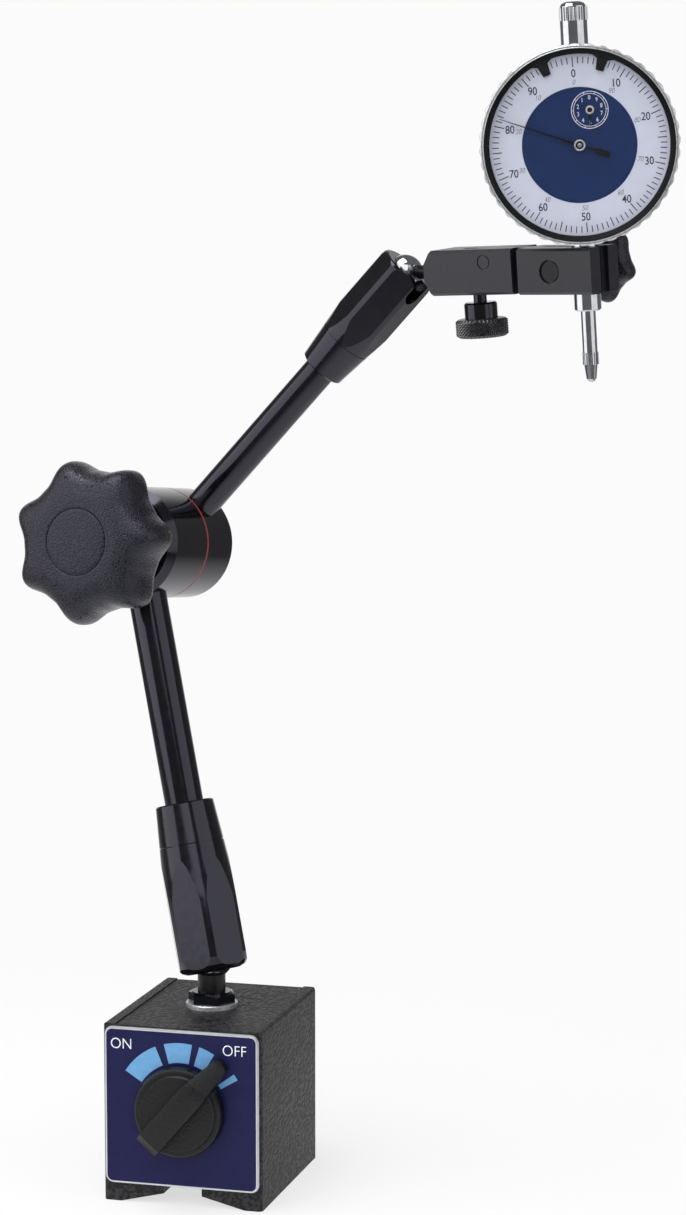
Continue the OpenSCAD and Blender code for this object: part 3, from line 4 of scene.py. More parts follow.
import bmesh
import bpy
import numpy as np
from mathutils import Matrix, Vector


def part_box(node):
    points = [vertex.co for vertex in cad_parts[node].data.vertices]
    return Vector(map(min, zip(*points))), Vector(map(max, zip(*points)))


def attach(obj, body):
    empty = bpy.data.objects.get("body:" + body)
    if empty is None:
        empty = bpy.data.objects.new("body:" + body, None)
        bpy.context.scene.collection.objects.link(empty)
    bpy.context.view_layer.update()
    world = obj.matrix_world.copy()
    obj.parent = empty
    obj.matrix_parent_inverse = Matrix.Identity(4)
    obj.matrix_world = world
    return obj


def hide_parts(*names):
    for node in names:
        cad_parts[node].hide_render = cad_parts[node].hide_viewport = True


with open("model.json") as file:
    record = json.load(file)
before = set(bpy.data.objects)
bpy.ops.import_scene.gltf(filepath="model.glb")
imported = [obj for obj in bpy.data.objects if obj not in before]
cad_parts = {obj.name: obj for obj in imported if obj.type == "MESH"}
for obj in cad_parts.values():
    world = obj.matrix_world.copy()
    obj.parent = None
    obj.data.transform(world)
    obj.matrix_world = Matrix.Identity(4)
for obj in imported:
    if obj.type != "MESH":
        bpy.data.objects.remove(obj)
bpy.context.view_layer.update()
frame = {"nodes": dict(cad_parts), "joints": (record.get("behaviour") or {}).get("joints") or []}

# Magnet block: two iron poles with a brass spacer between them, bolted together and milled flush.
# One coat of textured black stoving paint covers all three, so the seams don't show.

MM = 0.001


def linear(colour):
    """Linear RGBA of an sRGB hex colour, by the sRGB curve."""
    share = np.array([int(colour[i:i + 2], 16) for i in (1, 3, 5)]) / 255
    rgb = np.where(share <= 0.04045, share / 12.92, ((share + 0.055) / 1.055) ** 2.4)
    return (*rgb.tolist(), 1.0)


def add_node(tree, kind, sockets=(), feeds=(), **settings):
    """Adds a shader node, sets its settings and sockets, and links sockets from (node, output) pairs."""
    node = tree.nodes.new("ShaderNode" + kind)
    for key, value in settings.items():
        setattr(node, key, value)
    for key, value in dict(sockets).items():
        node.inputs[key].default_value = value
    for key, (source, output) in dict(feeds).items():
        tree.links.new(source.outputs[output], node.inputs[key])
    return node


def grained(name, dark, light, grain, rough, depth, stretch=(1, 1, 1), contrast=(0.35, 0.65), sockets=()):
    """A finish whose colour, roughness and relief follow one fine noise.

    dark and light are its end colours, grain the noise's spacing in mm, rough its roughness range,
    depth its relief in mm, stretch the noise's scale along x, y and z, contrast the noise's used range."""
    finish = bpy.data.materials.new(name)
    finish.use_nodes = True
    tree = finish.node_tree
    tree.nodes.clear()
    coords = add_node(tree, "TexCoord")
    scaled = add_node(tree, "Mapping", {"Scale": stretch}, {"Vector": (coords, "Object")})
    noise = add_node(tree, "TexNoise", {"Scale": 1 / (grain * MM), "Detail": 3.0}, {"Vector": (scaled, 0)})
    share = add_node(tree, "MapRange", {"From Min": contrast[0], "From Max": contrast[1]},
                     {"Value": (noise, 0)})
    tint = add_node(tree, "Mix", {6: linear(dark), 7: linear(light)}, {0: (share, 0)}, data_type="RGBA")
    gloss = add_node(tree, "MapRange", {"To Min": rough[0], "To Max": rough[1]}, {"Value": (share, 0)})
    relief = add_node(tree, "Bump", {"Strength": 1.0, "Distance": depth * MM}, {"Height": (share, 0)})
    shader = add_node(tree, "BsdfPrincipled", sockets,
                      {"Base Color": (tint, 2), "Roughness": (gloss, 0), "Normal": (relief, 0)})
    add_node(tree, "OutputMaterial", feeds={"Surface": (shader, 0)})
    return finish


# Corners of a CAD mesh closer than this, in mm, are one corner.
WELD_GAP = 0.001


def dress(finish, *nodes, crease=30):
    """Gives CAD nodes their finish: corners welded, faces smooth up to the crease angle."""
    for node in nodes:
        shape = frame["nodes"][node]
        shape.data.materials.clear()
        shape.data.materials.append(finish)
        shape.data.polygons.foreach_set("use_smooth", np.ones(len(shape.data.polygons), bool))
        weld = shape.modifiers.new("weld", "WELD")
        weld.merge_threshold = WELD_GAP * MM
        split = shape.modifiers.new("crease", "EDGE_SPLIT")
        split.split_angle = math.radians(crease)


# The paint dries to a pebbled skin with a soft sheen on each pebble. The pebbles are drawn about twice
# their real size, because smaller ones blur away at the photograph's distance.
textured_paint = grained("textured black stoving paint", "#0b0a0c", "#323033", 1.1, (0.42, 0.6), 0.26,
                         stretch=(1, 0.6, 1), contrast=(0.42, 0.6), sockets={"Specular IOR Level": 0.3})
dress(textured_paint, "pole_left", "pole_right", "brass_spacer", crease=12)

# Switch works inside the block: a magnet rotor pressed on a steel shaft, a disc that closes the bore
# and a pin that stops the turn. The magnet is sintered and ground, the rest is turned from bar.

# A ground magnet is dull, dark grey and slightly speckled.
ferrite = grained("sintered magnet, ground", "#4c4b4e", "#5f5e60", 0.8, (0.55, 0.75), 0.02)
dress(ferrite, "magnet_rotor")

# Turned steel is bright, with fine rings from the tool, drawn coarser than they are so that they show.
turned_steel = grained("bright turned steel", "#a9abaf", "#c9cbcf", 0.4, (0.22, 0.34), 0.003,
                       stretch=(1, 1, 12), sockets={"Metallic": 1.0})
dress(turned_steel, "switch_shaft", "bore_cap", "stop_pin")

# Face plate: stamped aluminium with a bright bevelled rim, held flat on the front of the block.
# A navy enamel field, light blue strength marks and white letters are screen printed on it.


def unit(vector):
    """The vector at length one."""
    return np.asarray(vector, float) / np.linalg.norm(vector)


def joint(name):
    """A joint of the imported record, by name."""
    return next(j for j in frame["joints"] if j["name"] == name)


def seat(turn, up):
    """Frame on a hinge, as origin and axes: z along the hinge, y along joint up where that is square to z."""
    z = unit(joint(turn)["axis"])
    side = np.asarray(joint(up)["axis"], float)
    y = unit(side - (side @ z) * z)
    return np.array(joint(turn)["pos_m"]), np.stack([np.cross(y, z), y, z])


def place(points, at):
    """Points in mm in a seat's frame, as points in metres in the row frame."""
    origin, axes = at
    return origin + (np.asarray(points, float) * MM) @ axes


def loft(rings, looped=False):
    """Skin over rings[copy, station, point]: quads join neighbouring rings round their loop.

    The first and last ring of a copy are closed by one face each, or joined to each other when looped."""
    rings = np.asarray(rings, float)
    rings = rings[None] if rings.ndim == 3 else rings
    index = np.arange(rings[..., 0].size).reshape(rings.shape[:3])
    here, ahead = (index, np.roll(index, -1, 1)) if looped else (index[:, :-1], index[:, 1:])
    quads = np.stack([here, np.roll(here, -1, 2), np.roll(ahead, -1, 2), ahead], -1)
    ends = [] if looped else index[:, 0].tolist() + index[:, -1].tolist()
    return rings.reshape(-1, 3), quads.reshape(-1, 4).tolist() + ends


def joined(*shapes):
    """Several (points, faces) as one, each one's faces shifted by the points before it."""
    starts = np.cumsum([0] + [len(points) for points, _ in shapes])
    faces = [[i + start for i in face] for start, (_, several) in zip(starts, shapes) for face in several]
    return np.concatenate([points for points, _ in shapes]), faces


def make(name, shape, at, finish, body, slot, *nodes, crease=30):
    """A new piece on a body, in place of any CAD nodes named.

    shape is its points, in mm in the seat's frame, and its faces."""
    points, faces = shape
    mesh = bpy.data.meshes.new(name)
    mesh.from_pydata(place(points, at).tolist(), [], faces)
    work = bmesh.new()
    work.from_mesh(mesh)
    bmesh.ops.recalc_face_normals(work, faces=work.faces)
    work.to_mesh(mesh)
    work.free()
    mesh.polygons.foreach_set("use_smooth", np.ones(len(mesh.polygons), bool))
    mesh.set_sharp_from_angle(angle=math.radians(crease))
    mesh.materials.append(finish)
    piece = bpy.data.objects.new(name, mesh)
    bpy.context.scene.collection.objects.link(piece)
    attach(piece, body)
    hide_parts(*nodes)
    return piece


# A printed layer's root lies just under the face that carries it, and its top just above.
INK_ROOT, INK = -0.01, 0.03


def lettering(text, height, x, y, level, thin, narrow, slant=0.0):
    """Printed text as a thin solid: the outline font's mesh, its strokes thinned by a share of the type size.

    It leans by slant, is scaled to a height in mm, narrowed by a share of its width and centred on x, y.
    Its depth only tells root from face, which then take the ink's own levels."""
    curve = bpy.data.curves.new("lettering", "FONT")
    curve.body = text
    curve.extrude = 0.5
    curve.offset = -thin
    curve.resolution_u = 5
    curve.shear = slant
    carrier = bpy.data.objects.new("lettering", curve)
    bpy.context.scene.collection.objects.link(carrier)
    bpy.context.view_layer.update()
    mesh = carrier.evaluated_get(bpy.context.evaluated_depsgraph_get()).to_mesh()
    points = np.empty(3 * len(mesh.vertices))
    mesh.vertices.foreach_get("co", points)
    points = points.reshape(-1, 3)
    faces = [list(p.vertices) for p in mesh.polygons]
    bpy.data.objects.remove(carrier)
    low, high = points.min(0), points.max(0)
    flat = (points[:, :2] - (low + high)[:2] / 2) * (narrow, 1) * height / (high - low)[1] + (x, y)
    return np.column_stack([flat, level + np.where(points[:, 2] > 0, INK, INK_ROOT)]), faces


def arc_bar(inner, outer, start, end, level, steps=48):
    """A thin bar bent round the origin: a rectangle carried along an arc from start to end, in degrees.

    A full circle closes on itself."""
    looped = abs(end - start) >= 360
    angle = np.radians(np.linspace(start, end, steps, endpoint=not looped))[:, None]
    radius = np.array([inner, outer, outer, inner])
    height = level + np.array([INK_ROOT, INK_ROOT, INK, INK]) + 0 * angle
    return loft(np.stack([radius * np.cos(angle), radius * np.sin(angle), height], -1), looped)


def rounded_sheet(width, height, corner, x, y, low, top, steps=9):
    """A flat sheet with round corners: four quarter arcs, carried from its underside to its face."""
    turn = np.radians(np.add.outer(90 * np.arange(4), np.linspace(0, 90, steps)).ravel())
    sign = np.repeat([[1, 1], [-1, 1], [-1, -1], [1, -1]], steps, 0)
    round_off = corner * np.column_stack([np.cos(turn), np.sin(turn)])
    edge = sign * (width / 2 - corner, height / 2 - corner) + round_off
    levels = np.array([low, top])
    flat = np.broadcast_to(edge + (x, y), (2, *edge.shape))
    return loft(np.concatenate([flat, np.broadcast_to(levels[:, None, None], (2, len(edge), 1))], -1))


# Anodised aluminium has a pale, silky shine.
plate_metal = grained("bright anodised aluminium", "#cfd1d6", "#dadce0", 3.0, (0.3, 0.38), 0.0005,
                      sockets={"Metallic": 0.8})
# Screen-printed enamel lies flat and even, with a little gloss.
navy_enamel = grained("navy screen-printed enamel", "#191a43", "#1b1d47", 3.0, (0.3, 0.36), 0.001,
                      sockets={"Specular IOR Level": 0.15})
# Printing inks are opaque and duller than the enamel under them.
blue_ink = grained("light blue printing ink", "#6099c9", "#669fd0", 2.0, (0.35, 0.45), 0.001)
white_ink = grained("white printing ink", "#e4e6ee", "#f2f3f7", 0.9, (0.4, 0.5), 0.003)
dress(plate_metal, "face_plate", crease=25)

switch_seat = seat("switch_turn", "base_swivel")
plate_box = [np.array(corner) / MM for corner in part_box("face_plate")]
plate_width, _, plate_height = plate_box[1] - plate_box[0]
plate_face = switch_seat[0][1] / MM - plate_box[0][1]
plate_y = (plate_box[0][2] + plate_box[1][2]) / 2 - switch_seat[0][2] / MM
FIELD_MARGIN = 0.7
FIELD_CORNER = 1.8
field_face = plate_face + INK
field = rounded_sheet(plate_width - 2 * FIELD_MARGIN, plate_height - 2 * FIELD_MARGIN, FIELD_CORNER,
                      0, plate_y, plate_face + INK_ROOT, field_face)
make("plate_field", field, switch_seat, navy_enamel, "base", "printed_plate")

MARK_INNER, MARK_OUTER = 14.6, 20.7
MARK_ARCS = ((147.4, 112.6), (104.8, 79.9), (73.4, 59.3), (36.3, 30.6))
marks = joined(*[arc_bar(MARK_INNER, MARK_OUTER, start, end, field_face) for start, end in MARK_ARCS])
make("strength_marks", marks, switch_seat, blue_ink, "base", "printed_plate")

LETTER_H = 3.2
LETTER_Y = 19.4
ON_X, OFF_X = -18.8, 16.9
LETTER_THIN, LETTER_NARROW = 0.012, 0.93
letters = joined(*[lettering(word, LETTER_H, x, LETTER_Y, field_face, LETTER_THIN, LETTER_NARROW)
                   for word, x in (("ON", ON_X), ("OFF", OFF_X))])
make("switch_letters", letters, switch_seat, white_ink, "base", "printed_plate")

# Switch knob: moulded glass-filled nylon, pressed on the shaft, a stepped disc with a pointer bar across it.
# The bar stays level to the disc's edge and then slopes down to its tip.


def turned(profile, around):
    """A lathe form as rings: (radius, height) pairs swept round the axis."""
    profile = np.asarray(profile, float)[:, :, None]
    turn = np.linspace(0, 2 * np.pi, around, endpoint=False)
    radius, height = profile[:, 0], profile[:, 1] + 0 * turn
    return np.stack([radius * np.cos(turn), radius * np.sin(turn), height], -1)


SWITCH_R, SWITCH_FLANGE, SWITCH_FACE = 13.75, 3.6, 4.7
SWITCH_BORE_R, SWITCH_BORE = 4.03, 6.0
BAR_BACK, BAR_EDGE, BAR_DIR = 0.7, 0.45, 49
knob_back = (switch_seat[0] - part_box("switch_knob")[1])[1] / MM

# Section of the disc from its bore round the flange to the raised face: radius, and height above its back.
disc = loft(turned([
    (SWITCH_BORE_R, SWITCH_BORE), (SWITCH_BORE_R, 0), (SWITCH_R - 0.3, 0), (SWITCH_R, 0.3),
    (SWITCH_R, SWITCH_FLANGE - 0.9), (SWITCH_R - 0.25, SWITCH_FLANGE - 0.3), (SWITCH_R - 0.75, SWITCH_FLANGE),
    (SWITCH_R - 1.75, SWITCH_FLANGE), (SWITCH_R - 2.0, SWITCH_FACE - 0.35), (SWITCH_R - 2.35, SWITCH_FACE),
    (SWITCH_BORE_R, SWITCH_FACE + 0.1)], 120))

# Stations along the bar: distance from the axis, half width and height.
bar_line = np.array([
    (-13.3, 3.5, 7.6), (-12.9, 3.85, 8.2), (-10.3, 4.0, 10.4), (-9.8, 4.0, 10.5), (9.5, 4.0, 10.5),
    (12.6, 3.55, 10.45), (13.2, 3.45, 10.1), (16.6, 2.95, 6.7), (19.6, 2.5, 5.0), (20.7, 2.2, 4.2),
    (21.15, 1.5, 3.6)])
# Section of the bar: side, back or top, and shares of the edge rounding across and down.
bar_side = np.array([(-1, 0, 0, 0), (-1, 1, 0, -1), (-1, 1, 0.3, -0.3), (-1, 1, 1, 0),
                     (1, 1, -1, 0), (1, 1, -0.3, -0.3), (1, 1, 0, -1), (1, 0, 0, 0)])
bar_u, bar_w, bar_h = bar_line.T[:, :, None]
side, high, shift, drop = bar_side.T
bar_v = bar_w * side + BAR_EDGE * shift
bar_z = BAR_BACK + high * (bar_h - BAR_BACK + BAR_EDGE * drop)
bar_cos, bar_sin = math.cos(math.radians(BAR_DIR)), math.sin(math.radians(BAR_DIR))
bar = loft(np.stack([bar_u * bar_cos - bar_v * bar_sin, bar_u * bar_sin + bar_v * bar_cos, bar_z], -1))

# The mould is spark-eroded, so the nylon comes out evenly grained and matt. The grain is drawn coarser than
# it is, so that it shows.
knob_nylon = grained("fine-grained black nylon, moulded", "#070709", "#141418", 0.7, (0.32, 0.42), 0.05,
                     sockets={"Specular IOR Level": 0.35})
grip_points, grip_faces = joined(disc, bar)
make("switch_grip", (grip_points + (0, 0, knob_back), grip_faces), switch_seat, knob_nylon, "switch",
     "black_plastic", "switch_knob", crease=28)

# Stud joint: a turned steel stud screwed into the block and locked by a thin nut on a washer.
# Its ball sits in the lower sleeve. The upper ball, on the holder's stud, is the same piece again.

# Black oxide is thin and even, and leaves the steel a soft dark gleam.
black_oxide = grained("black oxide steel", "#0e0e11", "#141418", 2.0, (0.2, 0.28), 0.001,
                      sockets={"Specular IOR Level": 0.3})
# Tumbled zinc is pale, with a broken shine.
washer_plate = grained("zinc plate, tumbled", "#c6c8cc", "#dcdee1", 1.0, (0.3, 0.42), 0.002,
                       sockets={"Metallic": 0.8})
# Bright nickel mirrors the room almost sharply.
bright_plate = grained("bright nickel plate", "#c4c6cb", "#d2d4d9", 2.5, (0.06, 0.1), 0.0005,
                       sockets={"Metallic": 1.0})
# Polished black chrome shows the lamps as clear strips with a faint violet tinge.
STRIP_TINT = linear("#e3e1fa")
gloss_black = grained("polished black chrome on steel", "#08080a", "#0c0c0f", 2.5, (0.1, 0.15), 0.001,
                      sockets={"Specular Tint": STRIP_TINT, "Specular IOR Level": 0.7})
dress(black_oxide, "lower_stud", crease=20)
dress(washer_plate, "stud_washer")
dress(bright_plate, "lower_ball", "upper_ball")

# The lock nut's corners are cut by a cone, so its top edge runs in arcs: at each angle the flat's radius
# sets how far the edge drops below the face. It stands on the row frame's z axis.
NUT_AF, NUT_BORE_R, NUT_FACE_R, NUT_CHAMFER = 13.0, 4.02, 5.9, 30
row_seat = np.zeros(3), np.eye(3)
nut_low, nut_top = (corner[2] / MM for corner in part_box("stud_nut"))
nut_turn = np.linspace(0, 2 * np.pi, 120, endpoint=False)
nut_edge = NUT_AF / 2 / np.cos(nut_turn % (np.pi / 3) - np.pi / 6)
nut_drop = (nut_edge - NUT_FACE_R) * math.tan(math.radians(NUT_CHAMFER))
even = np.ones(len(nut_turn))
nut_r = np.stack([NUT_BORE_R * even, nut_edge, nut_edge, NUT_FACE_R * even, NUT_BORE_R * even])
nut_z = np.stack([nut_low * even, nut_low * even, nut_top - nut_drop, nut_top * even, nut_top * even])
nut = loft(np.stack([nut_r * np.cos(nut_turn), nut_r * np.sin(nut_turn), nut_z], -1), looped=True)
make("lock_nut", nut, row_seat, gloss_black, "base", "black_oxide", "stud_nut", crease=20)

# Arms: drawn steel tubes pressed into six-sided sleeves, with brass seat pads and push rods inside.
# The outside is ground, polished and plated with the nut's black chrome.

# Brass that runs in oil is brown and dull.
oiled_brass = grained("brass, darkened by oil", "#2c2110", "#3b2e17", 0.6, (0.35, 0.5), 0.004,
                      sockets={"Metallic": 1.0})
dress(gloss_black, "lower_sleeve", "upper_sleeve", crease=7)
dress(gloss_black, "lower_tube", "upper_tube")
dress(oiled_brass, "lower_seat", "upper_seat")
dress(turned_steel, "lower_push_rod", "upper_push_rod")

# Hub: two turned steel halves, one on each arm, that pinch a fibre friction ring between them.
# The bolt through the middle draws them together and drives the push rods.

# Vulcanised fibre is a dull brick red with a dense, slightly hairy edge.
red_fibre = grained("red vulcanised fibre", "#7a2a24", "#93352d", 0.5, (0.45, 0.6), 0.01)
dress(gloss_black, "hub_front", "hub_rear", crease=20)
dress(red_fibre, "friction_ring")
dress(turned_steel, "centre_bolt")

# Star knob: a seven-lobed grip moulded in nylon round a brass bush, with a cap pressed into its face.
# It screws on the hub's bolt and locks all three joints at once.


def smooth(points, steps=6):
    """Curve through points: a Catmull-Rom spline, with steps samples to each span."""
    points = np.asarray(points, float)
    padded = np.concatenate([2 * points[:1] - points[1:2], points, 2 * points[-1:] - points[-2:-1]])
    t = np.linspace(0, 1, steps, endpoint=False)[:, None]
    a, b, c, d = (padded[i:len(points) - 1 + i, None] for i in range(4))
    bend = t ** 2 * (a - 2.5 * b + 2 * c - d / 2) + t ** 3 * (1.5 * (b - c) + (d - a) / 2)
    spans = b + t * (c - a) / 2 + bend
    return np.concatenate([spans.reshape(-1, points.shape[1]), points[-1:]])


def lobed(rings, lobes, phase, around):
    """A turned form pulled in between its lobes.

    A ring of height z, radius r and hollow h has r * (1 - h * (1 - crest)), where crest is a raised cosine
    to the power 1.6 that peaks at each lobe."""
    rings = np.asarray(rings, float)[:, :, None]
    angle = np.linspace(0, 2 * np.pi, around, endpoint=False)
    crest = ((1 + np.cos(lobes * (angle - math.radians(phase)))) / 2) ** 1.6
    radius = rings[:, 1] * (1 - rings[:, 2] * (1 - crest))
    return loft(np.stack([radius * np.cos(angle), radius * np.sin(angle), rings[:, 0] + 0 * angle], -1))


STAR_R, STAR_HOLLOW, STAR_RIM = 25.5, 0.15, 18.4
STAR_LOBES, STAR_PHASE = 7, 43.7
STAR_LOW, STAR_CROWN = 8.6, 38.5
BUSH_R, BUSH_LEN = 7.1, 18.1
CAP_R, CAP_T = 10.15, 1.6
RIM_LOW = STAR_CROWN - STAR_RIM
# Height, radius and hollow of the grip's rim, each as a share of the rim's own.
STAR_SHARES = ((0.02, 0.72, 0.55), (0.08, 0.9, 0.9), (0.2, 0.985, 1), (0.4, 1, 1), (0.59, 0.985, 1),
               (0.75, 0.94, 0.98), (0.86, 0.865, 0.9), (0.93, 0.76, 0.7), (0.965, 0.64, 0.4),
               (0.985, 0.53, 0.12))
star_profile = smooth([
    (STAR_LOW + 0.3, BUSH_R + 3, 0), (RIM_LOW - 1.5, BUSH_R + 3.4, 0), (RIM_LOW, BUSH_R + 5, 0.02),
    *[(RIM_LOW + STAR_RIM * z, STAR_R * r, STAR_HOLLOW * h) for z, r, h in STAR_SHARES],
    (STAR_CROWN - 0.15, CAP_R + 0.2, 0)])
star = lobed([(STAR_LOW + BUSH_LEN, BUSH_R, 0), (STAR_LOW, BUSH_R, 0), (STAR_LOW, BUSH_R + 2.7, 0),
              *star_profile, (STAR_CROWN - 0.3, CAP_R, 0), (STAR_CROWN - CAP_T, CAP_R, 0)],
             STAR_LOBES, STAR_PHASE, 336)
# The mould is etched to a leathery grain, which breaks up the highlights on the lobes.
leather_nylon = grained("leather-grained black nylon, moulded", "#101014", "#1c1c22", 0.6, (0.2, 0.28), 0.075,
                        contrast=(0.4, 0.6), sockets={"Specular Tint": STRIP_TINT, "Specular IOR Level": 0.6})
# Turned brass is yellow and bright, slightly mottled by handling.
turned_brass = grained("turned brass", "#b8903f", "#cba552", 0.6, (0.25, 0.38), 0.004,
                       sockets={"Metallic": 1.0})
make("star_grip", star, seat("star_knob_turn", "lower_spin"), leather_nylon, "star_knob", "black_plastic",
     "star_knob", crease=40)
dress(leather_nylon, "knob_cap")
dress(turned_brass, "knob_bush")

# Holder: a fork and a clamp milled from square steel bar and blackened, hinged on a pin.
# A light spring between them keeps the clamp's tongue on the fine screw.

# Fine grinding under the black leaves the flats a satin sheen.
satin_black = grained("satin black, ground steel", "#1d1d24", "#22222a", 1.5, (0.3, 0.36), 0.0006)
dress(satin_black, "holder_fork", "clamp_block", "hinge_pin", crease=25)
dress(black_oxide, "neck_stud", "clamp_screw")
dress(turned_steel, "fine_spring")

# Fine screw: turned steel, blackened, with a polished collar and a diamond-knurled head.
# Its tip lifts the clamp's tongue and so tilts the indicator, by about two degrees at most.


def knurled(low, top, radius, knurls, rows, depth, around, steps):
    """A diamond knurl as rings: two crossed triangle waves, the lower of them at each point."""
    z = np.linspace(0, 1, steps)[:, None]
    angle = np.linspace(0, 1, around, endpoint=False)
    waves = [np.abs(2 * ((knurls * angle + way * rows * z) % 1) - 1) for way in (1, -1)]
    r = radius - depth * (1 - np.minimum(*waves))
    turn = 2 * np.pi * angle
    return np.stack([r * np.cos(turn), r * np.sin(turn), low + (top - low) * z + 0 * turn], -1)


FINE_HEAD_R, FINE_HEAD_LOW, FINE_HEAD_TOP = 8.0, -9.9, -4.3
FINE_COLLAR_R, FINE_COLLAR_TOP = 5.0, 0.6
FINE_THREAD_R, FINE_TIP = 2.0, 7.3
FINE_EDGE, FINE_SINK = 0.5, 0.05
KNURLS, KNURL_ROWS, KNURL_DEPTH, KNURL_STEPS = 38, 4, 0.6, 49
CHAMFER = 0.8
FINE_AROUND = KNURLS * 10
FINE_RIM = FINE_HEAD_R - CHAMFER
head = loft(np.concatenate([
    turned([(FINE_THREAD_R, FINE_HEAD_LOW), (FINE_RIM - 0.4, FINE_HEAD_LOW),
            (FINE_RIM - 0.1, FINE_HEAD_LOW + 0.1)], FINE_AROUND),
    knurled(FINE_HEAD_LOW + CHAMFER, FINE_HEAD_TOP - CHAMFER, FINE_HEAD_R, KNURLS, KNURL_ROWS, KNURL_DEPTH,
            FINE_AROUND, KNURL_STEPS),
    turned([(FINE_RIM - 0.1, FINE_HEAD_TOP - 0.1), (FINE_RIM - 0.4, FINE_HEAD_TOP),
            (FINE_THREAD_R, FINE_HEAD_TOP)], FINE_AROUND)]))
shank = loft(turned([
    (FINE_THREAD_R, FINE_HEAD_TOP - FINE_SINK), (FINE_COLLAR_R, FINE_HEAD_TOP - FINE_SINK),
    (FINE_COLLAR_R, FINE_COLLAR_TOP - FINE_EDGE), (FINE_COLLAR_R - FINE_EDGE, FINE_COLLAR_TOP),
    (FINE_THREAD_R, FINE_COLLAR_TOP), (FINE_THREAD_R, FINE_TIP - FINE_EDGE),
    (FINE_THREAD_R - FINE_EDGE, FINE_TIP)], 64))
# Fingers rub the black thin on the points of a knurl, so they glint.
knurl_black = grained("black oxide on a knurl, worn on the points", "#1a1a1e", "#303036", 1.2, (0.24, 0.32),
                      0.001, sockets={"Specular IOR Level": 0.8})
fine_seat = seat("fine_turn", "fine_tilt")
make("knurled_head", head, fine_seat, knurl_black, "fine_screw", "black_oxide", "fine_screw", crease=28)
make("fine_shank", shank, fine_seat, gloss_black, "fine_screw", "black_oxide")

# Clamp knob: a small six-lobed grip, moulded in the star knob's nylon on the end of the clamp screw.
# It stands behind the holder and closes the clamp on the indicator's stem.

CLAMP_R, CLAMP_HOLLOW, CLAMP_T = 12.0, 0.17, 8.0
CLAMP_LOBES, CLAMP_PHASE = 6, 16.6
CLAMP_NECK_R = CLAMP_R * 0.54
BOSS_LOW, LOBES_LOW, POCKET_R, POCKET_LEN = 7.55, 16.55, 3.05, 6.1
# Height, radius and hollow of the lobes, each as a share of the lobes' own.
CLAMP_SHARES = ((0, 0.74, 0.6), (0.1, 0.93, 1), (0.35, 1, 1), (0.62, 0.98, 1), (0.82, 0.88, 0.9),
                (0.94, 0.7, 0.5), (1, 0.45, 0))
clamp_profile = smooth([
    (BOSS_LOW + 0.3, CLAMP_NECK_R, 0), (LOBES_LOW - 0.4, CLAMP_R * 0.58, 0),
    *[(LOBES_LOW + CLAMP_T * z, CLAMP_R * r, CLAMP_HOLLOW * h) for z, r, h in CLAMP_SHARES]])
clamp = lobed([(LOBES_LOW + POCKET_LEN, POCKET_R, 0), (BOSS_LOW, POCKET_R, 0),
               (BOSS_LOW, CLAMP_NECK_R - 0.3, 0), *clamp_profile], CLAMP_LOBES, CLAMP_PHASE, 180)
# The lobes' phase is counted in a seat turned half round its hinge.
clamp_origin, clamp_axes = seat("clamp_knob_turn", "stem_swivel")
clamp_seat = clamp_origin, clamp_axes * [[-1], [-1], [1]]
make("clamp_grip", clamp, clamp_seat, leather_nylon, "clamp_knob", "black_plastic", "clamp_knob", crease=40)

# Indicator case: turned brass, chromed, with a screwed back, a stem below and a capped tube on top.
# The case is bead blasted before plating, the stem and tube are polished.

# Satin chrome is silvery, with a soft blur in what it mirrors. The blasted dimples are drawn coarser than
# they are, so that they show.
satin_chrome = grained("satin chrome on brass", "#b9bcc2", "#d0d3d8", 0.35, (0.2, 0.3), 0.003,
                       sockets={"Metallic": 1.0})
dress(satin_chrome, "case", "back_cover")
dress(bright_plate, "stem", "top_tube", "top_cap", "cover_screws", crease=25)

# Movement inside the case: brass plates and wheels, a hairspring that takes up play and a return spring.
# The plates are punched and the wheels cut from sheet, on pinions turned from rod.

dress(turned_brass, "front_plate", "gear_bridge", "centre_pinion", "drive_wheel", "counter_wheel")
dress(turned_steel, "hairspring", "return_spring")

# Dial: a white enamelled scale ring that turns with the bezel, printed with a hundred divisions,
# dark numbers outside and paler reverse numbers inside, round a fixed blue disc with the small scale.

# Baked enamel is smooth and even, with hardly any gloss behind the crystal.
white_enamel = grained("white enamel on aluminium", "#d2d5e2", "#d6d9e5", 4.0, (0.4, 0.46), 0.0006)
blue_enamel = grained("blue enamel on aluminium", "#0f2a57", "#112d5c", 4.0, (0.36, 0.42), 0.0006,
                      sockets={"Specular IOR Level": 0.15})
# Inks are flat, the reverse numbers' one thinned to grey.
dark_ink = grained("black printing ink", "#25252f", "#32323e", 0.9, (0.45, 0.55), 0.003)
grey_ink = grained("grey printing ink", "#6f7286", "#7c7f92", 0.9, (0.45, 0.55), 0.003)
dress(white_enamel, "scale_ring")
dress(blue_enamel, "centre_disc")

dial_seat = seat("bezel_turn", "spindle_travel")
FACE = 7.6
DIVISIONS = 100
# The bezel stands turned a little anticlockwise, so zero isn't quite at the top.
ZERO_TURN = 2.2
ZERO = 90 + ZERO_TURN
TICK_OUTER, TICK_TEN, TICK_FIVE, TICK_ONE = 25.2, 22.3, 22.5, 23.3
TICK_HALF_FIVE, TICK_HALF_ONE = 0.15, 0.14

